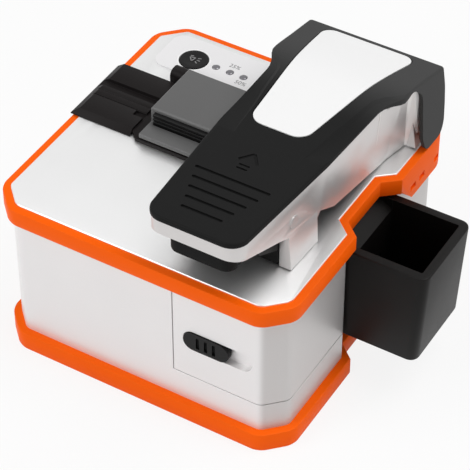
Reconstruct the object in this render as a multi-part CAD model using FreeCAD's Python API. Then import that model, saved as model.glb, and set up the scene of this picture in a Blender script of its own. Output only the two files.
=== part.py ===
"""Desktop optical-fibre cleaver with a lever arm, a clamp lid and a scrap bin.

Frame: millimetres, +Z up, +X towards the scrap bin, -Y towards the operator.
The origin lies on the plane the cleaver rests on, under the middle of the body.
The arm and the clamp lid are modelled closed.
"""
import FreeCAD, Part
import math
import os

V = FreeCAD.Vector

# ---------------------------------------------------------------- driving dimensions
# Body
BODY_WIDTH = 100.0          # over the bumpers
BODY_DEPTH = 100.0
CORNER_CUT = 7.8            # 45 degree cut of three bumper corners
REAR_CORNER_ROUND = 6.0     # rounding of the fourth, at the rear right
BUMPER_LIP = 2.5            # how far the bumpers stand out from the walls
BUMPER_EDGE = 1.0           # softened edges of the bumpers
WALL = 2.0
LOWER_BUMPER_TOP = 6.6
UPPER_BUMPER_BOTTOM = 51.0
UPPER_BUMPER_TOP = 56.8
DECK_TOP = 57.3
DECK_THICKNESS = 2.0
DECK_EDGE = 0.4
BASE_BOTTOM = 0.8
BASE_THICKNESS = 2.2

# Notch in the right-hand side that takes the bin
NOTCH_Y = 5.8
NOTCH_MOUTH = 28.1
NOTCH_FLOOR = 19.5
NOTCH_DEPTH = 5.0

# Deep corner of the upper bumper behind the notch, with its three slots
CORNER_GUARD_BOTTOM = 44.5
CORNER_GUARD_FRONT = 20.6
GUARD_SLOT_Y = (27.5, 33.2, 42.8)
GUARD_SLOT_Z = 48.5
GUARD_SLOT_WIDTH = 3.4
GUARD_SLOT_HEIGHT = 2.0
GUARD_SLOT_DEPTH = 1.2

# Feet and bottom screws
FOOT_RADIUS = 5.0
FOOT_INSET = 20.0
FOOT_RECESS = 1.0
POST_INSET = 5.0            # corner posts, in from the inner walls
POST_RADIUS = 3.0
SCREW_RADIUS = 1.25
SCREW_LENGTH = 9.0
SCREW_HEAD_RADIUS = 2.4
SCREW_HEAD_HEIGHT = 1.3

# Battery door
DOOR_LEFT = 11.8
DOOR_BOTTOM = 16.8
DOOR_GAP = 0.3
DOOR_TRAVEL = 30.0
LATCH_X = 27.0
LATCH_Z = 32.0
LATCH_POCKET_LENGTH = 23.0
LATCH_POCKET_HEIGHT = 7.0
LATCH_POCKET_DEPTH = 1.6
LATCH_KNOB_LENGTH = 16.0
LATCH_CLEARANCE = 0.2
LATCH_PROUD = 0.5
LATCH_RIBS = 3
LATCH_STEM_INSET = 3.0      # stem in from the knob's left end
LATCH_STEM_LENGTH = 5.0
LATCH_STEM_HEIGHT = 3.0
LATCH_TRAVEL = 6.6
BOLT_THICKNESS = 1.4
BOLT_HEIGHT = 5.0
BOLT_RISE = 9.0             # bolt finger above the stem
BOLT_REACH = 10.5           # bolt end beyond the stem
KEEPER_LENGTH = 4.0
KEEPER_THICKNESS = 1.4
KEEPER_FOOT = 3.0
KEEPER_FOOT_RISE = 0.5      # above the upper bumper's underside
BATTERY_WIDTH = 28.0
BATTERY_DEPTH = 27.0
BATTERY_HEIGHT = 19.0
BATTERY_EDGE = 2.0
BATTERY_FRONT = -40.0
TRAY_THICKNESS = 1.6
SHELF_THICKNESS = 1.8

# Electronics
BOARD_THICKNESS = 1.6
BOARD_HEIGHT = 9.0
BOARD_SIZE = (41.0, 68.0)
BOARD_LEFT = -33.5
BOARD_CHIPS = ((8.0, 12.0, 10.0, 10.0, 1.2), (24.0, 14.0, 8.0, 6.0, 1.6), (20.0, 34.0, 6.0, 12.0, 1.0))
CAPACITOR = (33.0, 34.0, 3.0, 7.0)      # place on the board, radius, height
STANDOFF_RADIUS = 2.2
STANDOFF_INSET = 4.0
STANDOFF_REAR = 22.0        # rear pair, in from the board's rear edge
USB_X = -27.0
USB_WIDTH = 9.0
USB_HEIGHT = 3.4
BUTTON_X = -31.8
BUTTON_Y = 35.9
BUTTON_RADIUS = 4.6
BUTTON_GAP = 0.2
BUTTON_RISE = 0.5
BUTTON_FLANGE = 0.9
BUTTON_FLANGE_LAP = 0.8
BUTTON_EDGE = 0.3
BUTTON_DISH_RADIUS = 30.0
BUTTON_DISH_DEPTH = 0.2
BUTTON_STEM_RADIUS = 1.5
BUTTON_TRAVEL = 0.8
LED_Y = 36.3
LED_X = (-24.0, -19.0, -14.1)
LED_RADIUS = 1.3
LED_RISE = 0.4
OVERLAY = (-43.0, -4.0, 28.4, 45.4)
OVERLAY_CORNER = 4.0
OVERLAY_THICKNESS = 0.2
BUTTON_BOARD_Z = 48.0
BUTTON_BOARD_MARGIN = (5.0, 4.0, 6.0, 8.0)      # left, right, front, rear
BUTTON_BOARD_THICKNESS = 1.2
SWITCH_SIZE = 5.0
SWITCH_HEIGHT = 1.8
SWITCH_GAP = 0.2
LIGHT_PIPE_RADIUS = 1.0
LIGHT_PIPE_GAP = 0.5
HANGER = (1.0, 2.0, 1.5)    # in from the board's end, width, depth

# Fibre line, guide plate and clamp stage on the deck
FIBRE_Y = 7.3
FIBRE_Z = 59.3
GUIDE_LEFT = -50.5
GUIDE_RIGHT = -29.2
GUIDE_FRONT = -5.2
GUIDE_REAR = 21.3
GUIDE_TOP = 59.3
GUIDE_FRONT_BEVEL = 1.9
GUIDE_SIDE_BEVEL = 2.4
GUIDE_CHANNEL = (9.4, 12.8)
GUIDE_CHANNEL_DEPTH = 1.4
GROOVE_WIDTH = 0.9
STAGE_RIGHT = -2.0
STAGE_FRONT = -6.2
STAGE_THICKNESS = 1.4
STAGE_CORNER = 2.6
LUG_LEFT = (-32.3, -26.1)
LUG_RIGHT = (-6.4, -2.0)
LUG_FRONT = 22.5
LUG_REAR = 27.5
LUG_TOP = 62.1
LUG_ROUND = 2.0
LID_PIN_Y = 25.0
LID_PIN_Z = 60.0
LID_PIN_RADIUS = 1.0
LID_BARREL_RADIUS = 2.2
PIN_CLEARANCE = 0.05
SIDE_CLEARANCE = 0.3
PAD_LENGTH = 8.0
PAD_WIDTH = 6.0
PAD_GAP = 0.3

# Clamp lid
LID_LEFT = -25.3
LID_RIGHT = -2.4
LID_TOP = 66.0
LID_SKIN = 1.4
LID_PANEL_FRONT = 1.0
LID_PANEL_REAR = 22.6
LID_TAB_FRONT = -6.0
LID_TAB_TOP = 60.7
LID_TAB_THICKNESS = 1.5
LID_CORNER = 1.6
LID_OPENING = 95.0
LID_CORE_FRONT = -0.3

# Lever arm
ARM_X = 24.5
HINGE_Y = 38.0
HINGE_Z = 70.5
HINGE_PIN_RADIUS = 2.0
ARM_OPENING = 60.0
ARM_FRONT = -57.0
ARM_TIP_HALF = 15.5
ARM_WAIST_HALF = 17.9
ARM_NECK_HALF = 18.8
ARM_SADDLE_HALF = 22.4
ARM_TIP_CORNER = 5.5
ARM_TOP_TIP = 85.9
ARM_TOP_WAIST = 84.7
ARM_TOP_SADDLE = 83.8
ARM_TOP_REAR = 77.9
ARM_WAIST_Y = -13.0
ARM_NECK_Y = 16.0
ARM_SADDLE_Y = 26.0
COVER_THICKNESS = 1.7
LEG_SWEEP = 12.8            # the rear of the arm is round about the hinge
LEG_THICKNESS = 3.0
LEG_FOOT_HALF = 25.9
LEG_TOP = 81.0
LEG_FRONT_EDGE = ((34.5, 57.7), (32.8, 62.6), (33.9, 69.1), (35.3, 75.2), (33.3, 78.7), (30.8, 81.6))
LEG_REAR_EDGE = ((49.6, 76.5), (48.7, 71.8), (47.6, 66.4), (46.2, 61.2), (44.5, 59.0), (43.0, 57.7))
REAR_WALL_BOTTOM = 73.0
FRAME_WALL = 2.2
FRAME_INSET = 0.4
FRAME_LIP = 6.6             # height of the lip round the tip
FRAME_NOSE_Y = -52.0        # lower edge behind the lip, with its depths below the top
FRAME_NOSE_DEPTH = 7.76
FRAME_THROAT_Y = -35.7
FRAME_THROAT_DEPTH = 13.4
SHOE_ROOT_DEPTH = 15.4
FRAME_SILL = (60.2, 63.5, 68.0, 66.0)   # lower edge behind the shoe, rear to front
FRAME_SILL_Y = (23.0, 10.0, -7.0, -15.0)
FRAME_CLEARANCE = 0.4       # frame above the deck
SHOE_FRONT = -31.1
SHOE_REAR = -16.7
WEB_Y = 33.4
LABEL_THICKNESS = 0.5
LABEL_FRONT = -5.2
LABEL_REAR = 46.6
LABEL_FRONT_HALF = 8.8
LABEL_REAR_HALF = 16.2
LABEL_CORNER = 3.0
RIB_COUNT = 5
RIB_PITCH = 4.07
RIB_LENGTHS = (24.1, 21.2, 18.6, 15.7, 13.3)
RIB_FIRST_Y = -33.4
RIB_SHIFT = -0.8            # middle of the grooves, to the left of the arm's
RIB_WIDTH = 1.1
RIB_GROOVE = 0.6
ARM_PAD_BOTTOM = 70.4
ARM_PAD_FRONT = -53.0
ARM_PAD_REAR = -43.0
ARM_PAD_HALF = 10.4
ARM_PAD_CORNER = 3.5
CORE_HALF = 12.8
CORE_FRONT = -42.0
CORE_REAR = 14.0
CORE_STEP_Y = -2.0
CORE_LOW = 61.2
CORE_HIGH = 64.0
CORE_PIN_Y = -29.0
CORE_PIN_DEPTH = 10.7       # pin below the arm's top
CORE_PIN_RADIUS = 1.9
KNOB_Y = -11.3
KNOB_Z = 66.3
KNOB_RADIUS = 2.6

# Hinge brackets
BRACKET_EARS = ((11.0, 14.0), (35.5, 38.5))
BRACKET_FLANGES = ((9.0, 16.5), (34.2, 40.0))
BRACKET_FLANGE_THICKNESS = 2.0
BRACKET_FRONT = 9.0         # flange, in front of and behind the hinge
BRACKET_REAR = 5.5
BRACKET_FOOT_FRONT = 8.0
BRACKET_EYE = 4.8
BRACKET_EYE_HALF = 4.6

# Blade carriage and its drive
BLADE_X = 18.0
BLADE_RADIUS = 8.0
BLADE_THICKNESS = 1.0
BLADE_GAP = 0.1             # blade edge below the fibre
BLADE_HUB_RADIUS = 3.2
BLADE_REST_Y = 12.4
CARRIAGE_TRAVEL = 9.5
AXLE_RADIUS = 1.5
CARRIAGE = (19.8, 32.0)
CARRIAGE_HALF_DEPTH = 7.0
CARRIAGE_BOTTOM = 40.0
CARRIAGE_TOP = 49.5
ROD_X = (22.6, 29.2)
ROD_Z = 43.5
ROD_RADIUS = 1.5
ROD_FRONT = -9.0
ROD_REAR = 42.0
HOLDER_THICKNESS = 2.7
LEVER_X = (25.5, 28.5)
BAR_X = (29.0, 32.0)
DRIVE_RADIUS = 9.5
DRIVE_START = 30.0          # drive pin's angle behind straight down
DRIVE_PIN_RADIUS = 1.2
DRIVE_CLEARANCE = 0.35
BAR_CLEARANCE = 0.3
BAR_THICKNESS = 2.0
TAB_DEPTH = 5.0
TAB_Y = 28.0

# Scrap rollers and motor
ROLLER_X = 35.6
ROLLER_RADIUS = 2.4
ROLLER_LENGTH = 10.0
PINCH_RADIUS = 1.8
ROLLER_AXLE_RADIUS = 0.8
ROLLER_WINDOW_GAP = 0.5
MOTOR_RADIUS = 3.3
MOTOR_LENGTH = 16.0
MOTOR_Z = 46.0
PULLEY_RADIUS = 2.0
PULLEY_WIDTH = 2.0
BELT_THICKNESS = 0.6

# Scrap bin
BIN_LEFT = 45.9
BIN_RIGHT = 72.8
BIN_FRONT = -7.0
BIN_REAR = 18.6
BIN_TOP = 50.0
BIN_BOTTOM = 16.0
BIN_WALL = 2.3
BIN_DRAFT = 1.8             # right-hand wall leans in by this at the bottom
BIN_CORNER = 3.0
BIN_INLET_DROP = 5.0        # left wall lower than the others, where the scraps fall in
BIN_TRAVEL = 30.0
DOCK_Y = 15.0
DOCK_Z = (22.0, 42.0)
PEG_RADIUS = 1.5
MAGNET_RADIUS = 2.5
MAGNET_THICKNESS = 1.2

# ---------------------------------------------------------------- worked-out places
DECK_BOTTOM = DECK_TOP - DECK_THICKNESS
BASE_TOP = BASE_BOTTOM + BASE_THICKNESS
HALF_X = BODY_WIDTH / 2
HALF_Y = BODY_DEPTH / 2
INNER_X = HALF_X - BUMPER_LIP - WALL
INNER_Y = HALF_Y - BUMPER_LIP - WALL
FRONT_FACE = -(HALF_Y - BUMPER_LIP)
HUGE = 400.0


# ---------------------------------------------------------------- helpers
def block(x, y, z):
    """Box between two values on each axis."""
    return Part.makeBox(x[1] - x[0], y[1] - y[0], z[1] - z[0], V(x[0], y[0], z[0]))


def rod(axis, radius, start, end, at):
    """Cylinder along 'x', 'y' or 'z' from start to end; at gives its other two places."""
    if axis == "x":
        return Part.makeCylinder(radius, end - start, V(start, at[0], at[1]), V(1, 0, 0))
    if axis == "y":
        return Part.makeCylinder(radius, end - start, V(at[0], start, at[1]), V(0, 1, 0))
    return Part.makeCylinder(radius, end - start, V(at[0], at[1], start), V(0, 0, 1))


def prism_z(points, bottom, top):
    """Plan outline pushed up from bottom to top."""
    corners = [V(x, y, bottom) for x, y in points]
    face = Part.Face(Part.makePolygon(corners + [corners[0]]))
    return face.extrude(V(0, 0, top - bottom))


def prism_x(points, left, right):
    """Side outline of (y, z) points pushed along X."""
    corners = [V(left, y, z) for y, z in points]
    face = Part.Face(Part.makePolygon(corners + [corners[0]]))
    return face.extrude(V(right - left, 0, 0))


def prism_y(points, front, rear):
    """Front outline of (x, z) points pushed along Y."""
    corners = [V(x, front, z) for x, z in points]
    face = Part.Face(Part.makePolygon(corners + [corners[0]]))
    return face.extrude(V(0, rear - front, 0))


def upright_edges(shape, keep):
    """Edges that run mostly along Z and whose middle passes the test keep(x, y)."""
    found = []
    for edge in shape.Edges:
        box = edge.BoundBox
        if box.ZLength > 3 * max(box.XLength, box.YLength, 0.01) and keep(box.Center.x, box.Center.y):
            found.append(edge)
    return found


def edges_at(shape, height):
    """Edges that lie in the horizontal plane at this height."""
    return [e for e in shape.Edges if abs(e.BoundBox.ZMin - height) < 1e-4 and e.BoundBox.ZLength < 1e-4]


def inset(points, distance):
    """Move every side of a closed anticlockwise outline inwards."""
    moved = []
    count = len(points)
    for i in range(count):
        before, here, after = points[i - 1], points[i], points[(i + 1) % count]
        a = V(here[0] - before[0], here[1] - before[1], 0).normalize()
        b = V(after[0] - here[0], after[1] - here[1], 0).normalize()
        normal_a = V(-a.y, a.x, 0)
        normal_b = V(-b.y, b.x, 0)
        step = (normal_a + normal_b) * (distance / (1 + normal_a.dot(normal_b)))
        moved.append((here[0] + step.x, here[1] + step.y))
    return moved


def mirrored(half_outline):
    """Close a list of (half width, y) points, front to rear, about the arm's centre line."""
    right = [(ARM_X + half, y) for half, y in half_outline]
    left = [(ARM_X - half, y) for half, y in reversed(half_outline)]
    return right + left


def one(shape):
    """Join what touches and drop leftover seams."""
    shape = shape.removeSplitter()
    return shape


def save(name, shape):
    shape.exportStep("parts/" + name + ".step")


# ---------------------------------------------------------------- body
def body_outline(distance=0.0):
    """Plan of the body with its cut corners and the bin notch, set in by a distance."""
    cut = CORNER_CUT
    turn = REAR_CORNER_ROUND
    floor = HALF_X - NOTCH_DEPTH
    points = [
        (-HALF_X + cut, -HALF_Y), (HALF_X - cut, -HALF_Y), (HALF_X, -HALF_Y + cut),
        (HALF_X, NOTCH_Y - NOTCH_MOUTH / 2), (floor, NOTCH_Y - NOTCH_FLOOR / 2),
        (floor, NOTCH_Y + NOTCH_FLOOR / 2), (HALF_X, NOTCH_Y + NOTCH_MOUTH / 2),
        (HALF_X, HALF_Y - turn), (HALF_X - turn * 0.293, HALF_Y - turn * 0.293), (HALF_X - turn, HALF_Y),
        (-HALF_X + cut, HALF_Y),
        (-HALF_X, HALF_Y - cut), (-HALF_X, -HALF_Y + cut),
    ]
    return inset(points, distance)


WALL_OUTLINE = body_outline(BUMPER_LIP)
INNER_OUTLINE = body_outline(BUMPER_LIP + WALL)
DOOR_REAR = WALL_OUTLINE[3][1]


def post_places():
    x = INNER_X - POST_INSET
    y = INNER_Y - POST_INSET
    return [(-x, -y), (-x, y), (x, y)]


def foot_places():
    x = HALF_X - FOOT_INSET
    y = HALF_Y - FOOT_INSET
    return [(-x, -y), (x, -y), (-x, y), (x, y)]


def door_zone(gap):
    """Space of the corner door, less a gap along its seams."""
    return block((DOOR_LEFT + gap, HUGE), (-HUGE, DOOR_REAR - gap), (DOOR_BOTTOM + gap, UPPER_BUMPER_BOTTOM - gap))


def wall_ring():
    return prism_z(WALL_OUTLINE, BASE_TOP, DECK_BOTTOM).cut(prism_z(INNER_OUTLINE, BASE_TOP, DECK_BOTTOM))


def inside():
    """Space between the walls."""
    return prism_z(INNER_OUTLINE, BASE_TOP, DECK_BOTTOM)


def usb_opening():
    z = BOARD_HEIGHT + BOARD_THICKNESS
    x = (USB_X - USB_WIDTH / 2 - DOOR_GAP, USB_X + USB_WIDTH / 2 + DOOR_GAP)
    return block(x, (INNER_Y - 1, HALF_Y), (z - DOOR_GAP, z + USB_HEIGHT + DOOR_GAP))


def body_shell():
    shell = wall_ring().cut(door_zone(0)).cut(usb_opening())
    for y in dock_magnet_places():
        shell = shell.cut(rod("x", MAGNET_RADIUS, dock_face() - MAGNET_THICKNESS, dock_face(), y))
    return shell


def base_plate():
    plate = prism_z(WALL_OUTLINE, BASE_BOTTOM, BASE_TOP)
    for x, y in post_places():
        plate = plate.cut(rod("z", SCREW_RADIUS, BASE_BOTTOM, BASE_TOP, (x, y)))
        plate = plate.cut(rod("z", SCREW_HEAD_RADIUS, BASE_BOTTOM, BASE_BOTTOM + SCREW_HEAD_HEIGHT, (x, y)))
    for x, y in foot_places():
        plate = plate.cut(rod("z", FOOT_RADIUS, BASE_BOTTOM, BASE_BOTTOM + FOOT_RECESS, (x, y)))
    bosses = [rod("z", STANDOFF_RADIUS, BASE_BOTTOM + 1, BOARD_HEIGHT, p) for p in standoff_places()]
    return one(plate.fuse(bosses))


def bumper_ring(bottom, top):
    """Rubber ring round the walls with softened outer edges."""
    solid = prism_z(body_outline(), bottom, top)
    edges = edges_at(solid, bottom) + edges_at(solid, top) + upright_edges(solid, lambda x, y: True)
    solid = solid.makeChamfer(BUMPER_EDGE, edges)
    return solid.cut(prism_z(WALL_OUTLINE, bottom, top))


def lower_bumper():
    return bumper_ring(0.0, LOWER_BUMPER_TOP)


def guard_slots():
    """Three shallow slots in the deep corner of the upper bumper."""
    half = GUARD_SLOT_WIDTH / 2
    z = (GUARD_SLOT_Z - GUARD_SLOT_HEIGHT / 2, GUARD_SLOT_Z + GUARD_SLOT_HEIGHT / 2)
    return [block((HALF_X - GUARD_SLOT_DEPTH, HALF_X + 1), (y - half, y + half), z) for y in GUARD_SLOT_Y]


def upper_bumper():
    ring = bumper_ring(UPPER_BUMPER_BOTTOM, UPPER_BUMPER_TOP)
    slope = UPPER_BUMPER_BOTTOM - CORNER_GUARD_BOTTOM
    side = [(CORNER_GUARD_FRONT, UPPER_BUMPER_BOTTOM + BUMPER_EDGE),
            (CORNER_GUARD_FRONT, UPPER_BUMPER_BOTTOM),
            (CORNER_GUARD_FRONT + slope, CORNER_GUARD_BOTTOM), (HALF_Y + 1, CORNER_GUARD_BOTTOM),
            (HALF_Y + 1, UPPER_BUMPER_BOTTOM + BUMPER_EDGE)]
    guard = prism_x(side, HALF_X - CORNER_CUT, HALF_X + 1)
    guard = guard.common(prism_z(body_outline(), CORNER_GUARD_BOTTOM, UPPER_BUMPER_TOP))
    guard = guard.cut(prism_z(WALL_OUTLINE, CORNER_GUARD_BOTTOM, UPPER_BUMPER_TOP))
    bumper = one(ring.fuse(guard))
    for cut in guard_slots():
        bumper = bumper.cut(cut)
    return bumper


def rubber_feet():
    return Part.makeCompound([rod("z", FOOT_RADIUS, 0.0, BASE_BOTTOM + FOOT_RECESS, p) for p in foot_places()])


def base_screws():
    screws = []
    for p in post_places():
        shank = rod("z", SCREW_RADIUS, BASE_BOTTOM + 0.3, BASE_BOTTOM + SCREW_LENGTH, p)
        head = rod("z", SCREW_HEAD_RADIUS, BASE_BOTTOM + 0.3, BASE_BOTTOM + SCREW_HEAD_HEIGHT, p)
        screws.append(one(shank.fuse(head)))
    return Part.makeCompound(screws)


def corner_posts():
    posts = []
    for p in post_places():
        post = rod("z", POST_RADIUS, BASE_TOP, DECK_BOTTOM, p)
        posts.append(post.cut(rod("z", SCREW_RADIUS, BASE_TOP, BASE_BOTTOM + SCREW_LENGTH + 1, p)))
    return Part.makeCompound(posts)


def deck_plate():
    deck = prism_z(WALL_OUTLINE, DECK_BOTTOM, DECK_TOP)
    deck = deck.makeChamfer(DECK_EDGE, edges_at(deck, DECK_TOP))
    through = (DECK_BOTTOM - 1, DECK_TOP + 1)
    deck = deck.cut(rod("z", BUTTON_RADIUS + BUTTON_GAP, through[0], through[1], (BUTTON_X, BUTTON_Y)))
    for x in LED_X:
        deck = deck.cut(rod("z", LED_RADIUS, through[0], through[1], (x, LED_Y)))
    reach = math.sqrt(BLADE_RADIUS ** 2 - (blade_z() - DECK_BOTTOM) ** 2) + 0.6
    slot_x = (BLADE_X - BLADE_THICKNESS, BLADE_X + BLADE_THICKNESS)
    deck = deck.cut(block(slot_x, (BLADE_REST_Y - CARRIAGE_TRAVEL - reach, BLADE_REST_Y + reach), through))
    tab_x = (BAR_X[0] - 0.5, BAR_X[1] + 0.5)
    deck = deck.cut(block(tab_x, (TAB_Y - CARRIAGE_TRAVEL - 0.5, TAB_Y + TAB_DEPTH + 0.5), through))
    return deck.cut(roller_window(through))


# ---------------------------------------------------------------- battery door
def latch_slot_shape(length, height, depth_range):
    """Oblong with round ends, flat in the front wall."""
    y = depth_range
    half = length / 2 - height / 2
    middle = block((LATCH_X - half, LATCH_X + half), y, (LATCH_Z - height / 2, LATCH_Z + height / 2))
    left = rod("y", height / 2, y[0], y[1], (LATCH_X - half, LATCH_Z))
    right = rod("y", height / 2, y[0], y[1], (LATCH_X + half, LATCH_Z))
    return one(middle.fuse([left, right]))


def boss_back():
    return FRONT_FACE + LATCH_POCKET_DEPTH + WALL


def latch_rest_x():
    """Left end of the knob, against the left end of its pocket."""
    return LATCH_X - LATCH_POCKET_LENGTH / 2 + LATCH_CLEARANCE


def stem_x():
    """Left side of the knob's stem."""
    return latch_rest_x() + LATCH_STEM_INSET


def corner_door():
    door = wall_ring().common(door_zone(DOOR_GAP))
    margin = WALL
    boss = block((LATCH_X - LATCH_POCKET_LENGTH / 2 - margin, LATCH_X + LATCH_POCKET_LENGTH / 2 + margin),
                 (FRONT_FACE + WALL / 2, boss_back()),
                 (LATCH_Z - LATCH_POCKET_HEIGHT / 2 - margin, LATCH_Z + LATCH_POCKET_HEIGHT / 2 + margin))
    door = one(door.fuse(boss))
    pocket = latch_slot_shape(LATCH_POCKET_LENGTH, LATCH_POCKET_HEIGHT,
                              (FRONT_FACE - 1, FRONT_FACE + LATCH_POCKET_DEPTH))
    door = door.cut(pocket)
    slot = block((stem_x() - LATCH_CLEARANCE, stem_x() + LATCH_STEM_LENGTH + LATCH_TRAVEL + LATCH_CLEARANCE),
                 (FRONT_FACE, boss_back() + 1),
                 (LATCH_Z - LATCH_STEM_HEIGHT / 2 - LATCH_CLEARANCE, LATCH_Z + LATCH_STEM_HEIGHT / 2 + LATCH_CLEARANCE))
    return door.cut(slot)


def door_latch():
    """Sliding knob with finger ribs and a stem through the door."""
    height = LATCH_POCKET_HEIGHT - 2 * LATCH_CLEARANCE
    left = latch_rest_x()
    y = (FRONT_FACE - LATCH_PROUD, FRONT_FACE + LATCH_POCKET_DEPTH - LATCH_CLEARANCE)
    half = height / 2
    z = (LATCH_Z - half, LATCH_Z + half)
    knob = block((left + half, left + LATCH_KNOB_LENGTH - half), y, z)
    ends = [rod("y", half, y[0], y[1], (left + half, LATCH_Z)),
            rod("y", half, y[0], y[1], (left + LATCH_KNOB_LENGTH - half, LATCH_Z))]
    knob = one(knob.fuse(ends))
    pitch = LATCH_KNOB_LENGTH / (2 * LATCH_RIBS)
    middle = left + LATCH_KNOB_LENGTH / 2
    for i in range(LATCH_RIBS):
        x = middle + (i - (LATCH_RIBS - 1) / 2) * pitch
        knob = knob.cut(block((x - 0.5, x + 0.5), (y[0] - 1, y[0] + 0.6), (LATCH_Z - 2.2, LATCH_Z + 2.2)))
    stem = block((stem_x(), stem_x() + LATCH_STEM_LENGTH), (y[1], boss_back() + LATCH_CLEARANCE),
                 (LATCH_Z - LATCH_STEM_HEIGHT / 2, LATCH_Z + LATCH_STEM_HEIGHT / 2))
    return one(knob.fuse(stem))


def latch_bolt():
    """Plate behind the door that slides with the knob."""
    y = (boss_back() + LATCH_CLEARANCE, boss_back() + LATCH_CLEARANCE + BOLT_THICKNESS)
    right = stem_x() + LATCH_STEM_LENGTH
    middle = LATCH_Z + BOLT_RISE
    plate = block((stem_x() - 2, right + 2), y, (LATCH_Z - BOLT_HEIGHT / 2, middle + BOLT_HEIGHT / 2))
    finger = block((right, right + BOLT_REACH), y, (middle - BOLT_HEIGHT / 2, middle + BOLT_HEIGHT / 2))
    return one(plate.fuse(finger))


def latch_keeper():
    """Tab hung from the deck; the bolt slides behind it to lock the door."""
    left = stem_x() + LATCH_STEM_LENGTH + BOLT_REACH + LATCH_TRAVEL - KEEPER_LENGTH
    rear = boss_back() + LATCH_CLEARANCE / 2
    front = rear - KEEPER_THICKNESS
    low = LATCH_Z + BOLT_RISE - BOLT_HEIGHT / 2
    tab = block((left, left + KEEPER_LENGTH), (front, rear), (low, DECK_BOTTOM))
    foot = block((left, left + KEEPER_LENGTH), (front, rear + KEEPER_FOOT),
                 (UPPER_BUMPER_BOTTOM + KEEPER_FOOT_RISE, DECK_BOTTOM))
    room = prism_z(body_outline(BUMPER_LIP + WALL + DOOR_GAP), BASE_TOP, DECK_BOTTOM)
    return one(tab.fuse(foot)).common(room)


def battery_x():
    middle = (DOOR_LEFT + INNER_X) / 2
    return middle - BATTERY_WIDTH / 2, middle + BATTERY_WIDTH / 2


def tray_floor():
    return DOOR_BOTTOM + DOOR_GAP


def battery_tray():
    """Sledge behind the door that the battery stands on."""
    x = battery_x()
    rear = BATTERY_FRONT + BATTERY_DEPTH + TRAY_THICKNESS
    top = tray_floor() + TRAY_THICKNESS
    floor = block(x, (-INNER_Y, rear), (tray_floor(), top))
    back = block(x, (rear - TRAY_THICKNESS, rear), (top, top + BATTERY_HEIGHT * 0.6))
    return one(floor.fuse(back)).common(inside())


def battery_pack():
    x = battery_x()
    bottom = tray_floor() + TRAY_THICKNESS
    pack = block(x, (BATTERY_FRONT, BATTERY_FRONT + BATTERY_DEPTH), (bottom, bottom + BATTERY_HEIGHT))
    return pack.makeFillet(BATTERY_EDGE, upright_edges(pack, lambda px, py: True))


def battery_shelf():
    """Fixed shelf under the tray, held by the front wall and two legs."""
    x = battery_x()
    top = DOOR_BOTTOM
    rear = BATTERY_FRONT + BATTERY_DEPTH + TRAY_THICKNESS
    shelf = block((x[0] - 2, x[1] + 1), (-INNER_Y, rear), (top - SHELF_THICKNESS, top))
    legs = [block((px, px + 2), (rear - 3, rear), (BASE_TOP, top)) for px in (x[0] - 2, x[1] - 1)]
    return one(shelf.fuse(legs)).common(inside())


# ---------------------------------------------------------------- electronics
def board_range():
    x = (BOARD_LEFT, BOARD_LEFT + BOARD_SIZE[0])
    y = (INNER_Y - 1.0 - BOARD_SIZE[1], INNER_Y - 1.0)
    return x, y


def standoff_places():
    x, y = board_range()
    return [(px, py) for px in (x[0] + STANDOFF_INSET, x[1] - STANDOFF_INSET)
            for py in (y[0] + STANDOFF_INSET, y[1] - STANDOFF_REAR)]


def circuit_board():
    x, y = board_range()
    z = BOARD_HEIGHT + BOARD_THICKNESS
    board = block(x, y, (BOARD_HEIGHT, z))
    chips = [block((x[0] + px, x[0] + px + width), (y[0] + py, y[0] + py + depth), (z, z + height))
             for px, py, width, depth, height in BOARD_CHIPS]
    px, py, radius, height = CAPACITOR
    chips.append(rod("z", radius, z, z + height, (x[0] + px, y[0] + py)))
    return one(board.fuse(chips))


def usb_port():
    """Charging socket on the board's rear edge, open through the rear wall."""
    z = BOARD_HEIGHT + BOARD_THICKNESS
    y = (INNER_Y - 6.0, INNER_Y + WALL / 2)
    shell = block((USB_X - USB_WIDTH / 2, USB_X + USB_WIDTH / 2), y, (z, z + USB_HEIGHT))
    shell = shell.makeFillet(1.2, [e for e in shell.Edges if e.BoundBox.YLength > 5])
    hollow = block((USB_X - USB_WIDTH / 2 + 0.5, USB_X + USB_WIDTH / 2 - 0.5), (y[0] + 1, y[1] + 1), (z + 0.5, z + USB_HEIGHT - 0.5))
    tongue = block((USB_X - 3.0, USB_X + 3.0), (y[0], y[1] - 0.8), (z + USB_HEIGHT / 2 - 0.3, z + USB_HEIGHT / 2 + 0.3))
    return one(shell.cut(hollow).fuse(tongue))


def button_board():
    """Small board under the control panel with the push switch and three lamps."""
    left, right, front, rear = BUTTON_BOARD_MARGIN
    x = (BUTTON_X - left, LED_X[-1] + right)
    y = (BUTTON_Y - front, BUTTON_Y + rear)
    top = BUTTON_BOARD_Z + BUTTON_BOARD_THICKNESS
    board = block(x, y, (BUTTON_BOARD_Z, top))
    half = SWITCH_SIZE / 2
    parts = [block((BUTTON_X - half, BUTTON_X + half), (BUTTON_Y - half, BUTTON_Y + half), (top, top + SWITCH_HEIGHT))]
    parts += [rod("z", LIGHT_PIPE_RADIUS, top, DECK_BOTTOM - LIGHT_PIPE_GAP, (lx, LED_Y)) for lx in LED_X]
    inward, width, depth = HANGER
    for px in (x[0] + inward, x[1] - inward - width):
        parts.append(block((px, px + width), (y[1] - depth, y[1]), (BUTTON_BOARD_Z, DECK_BOTTOM)))
    return one(board.fuse(parts))


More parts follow.
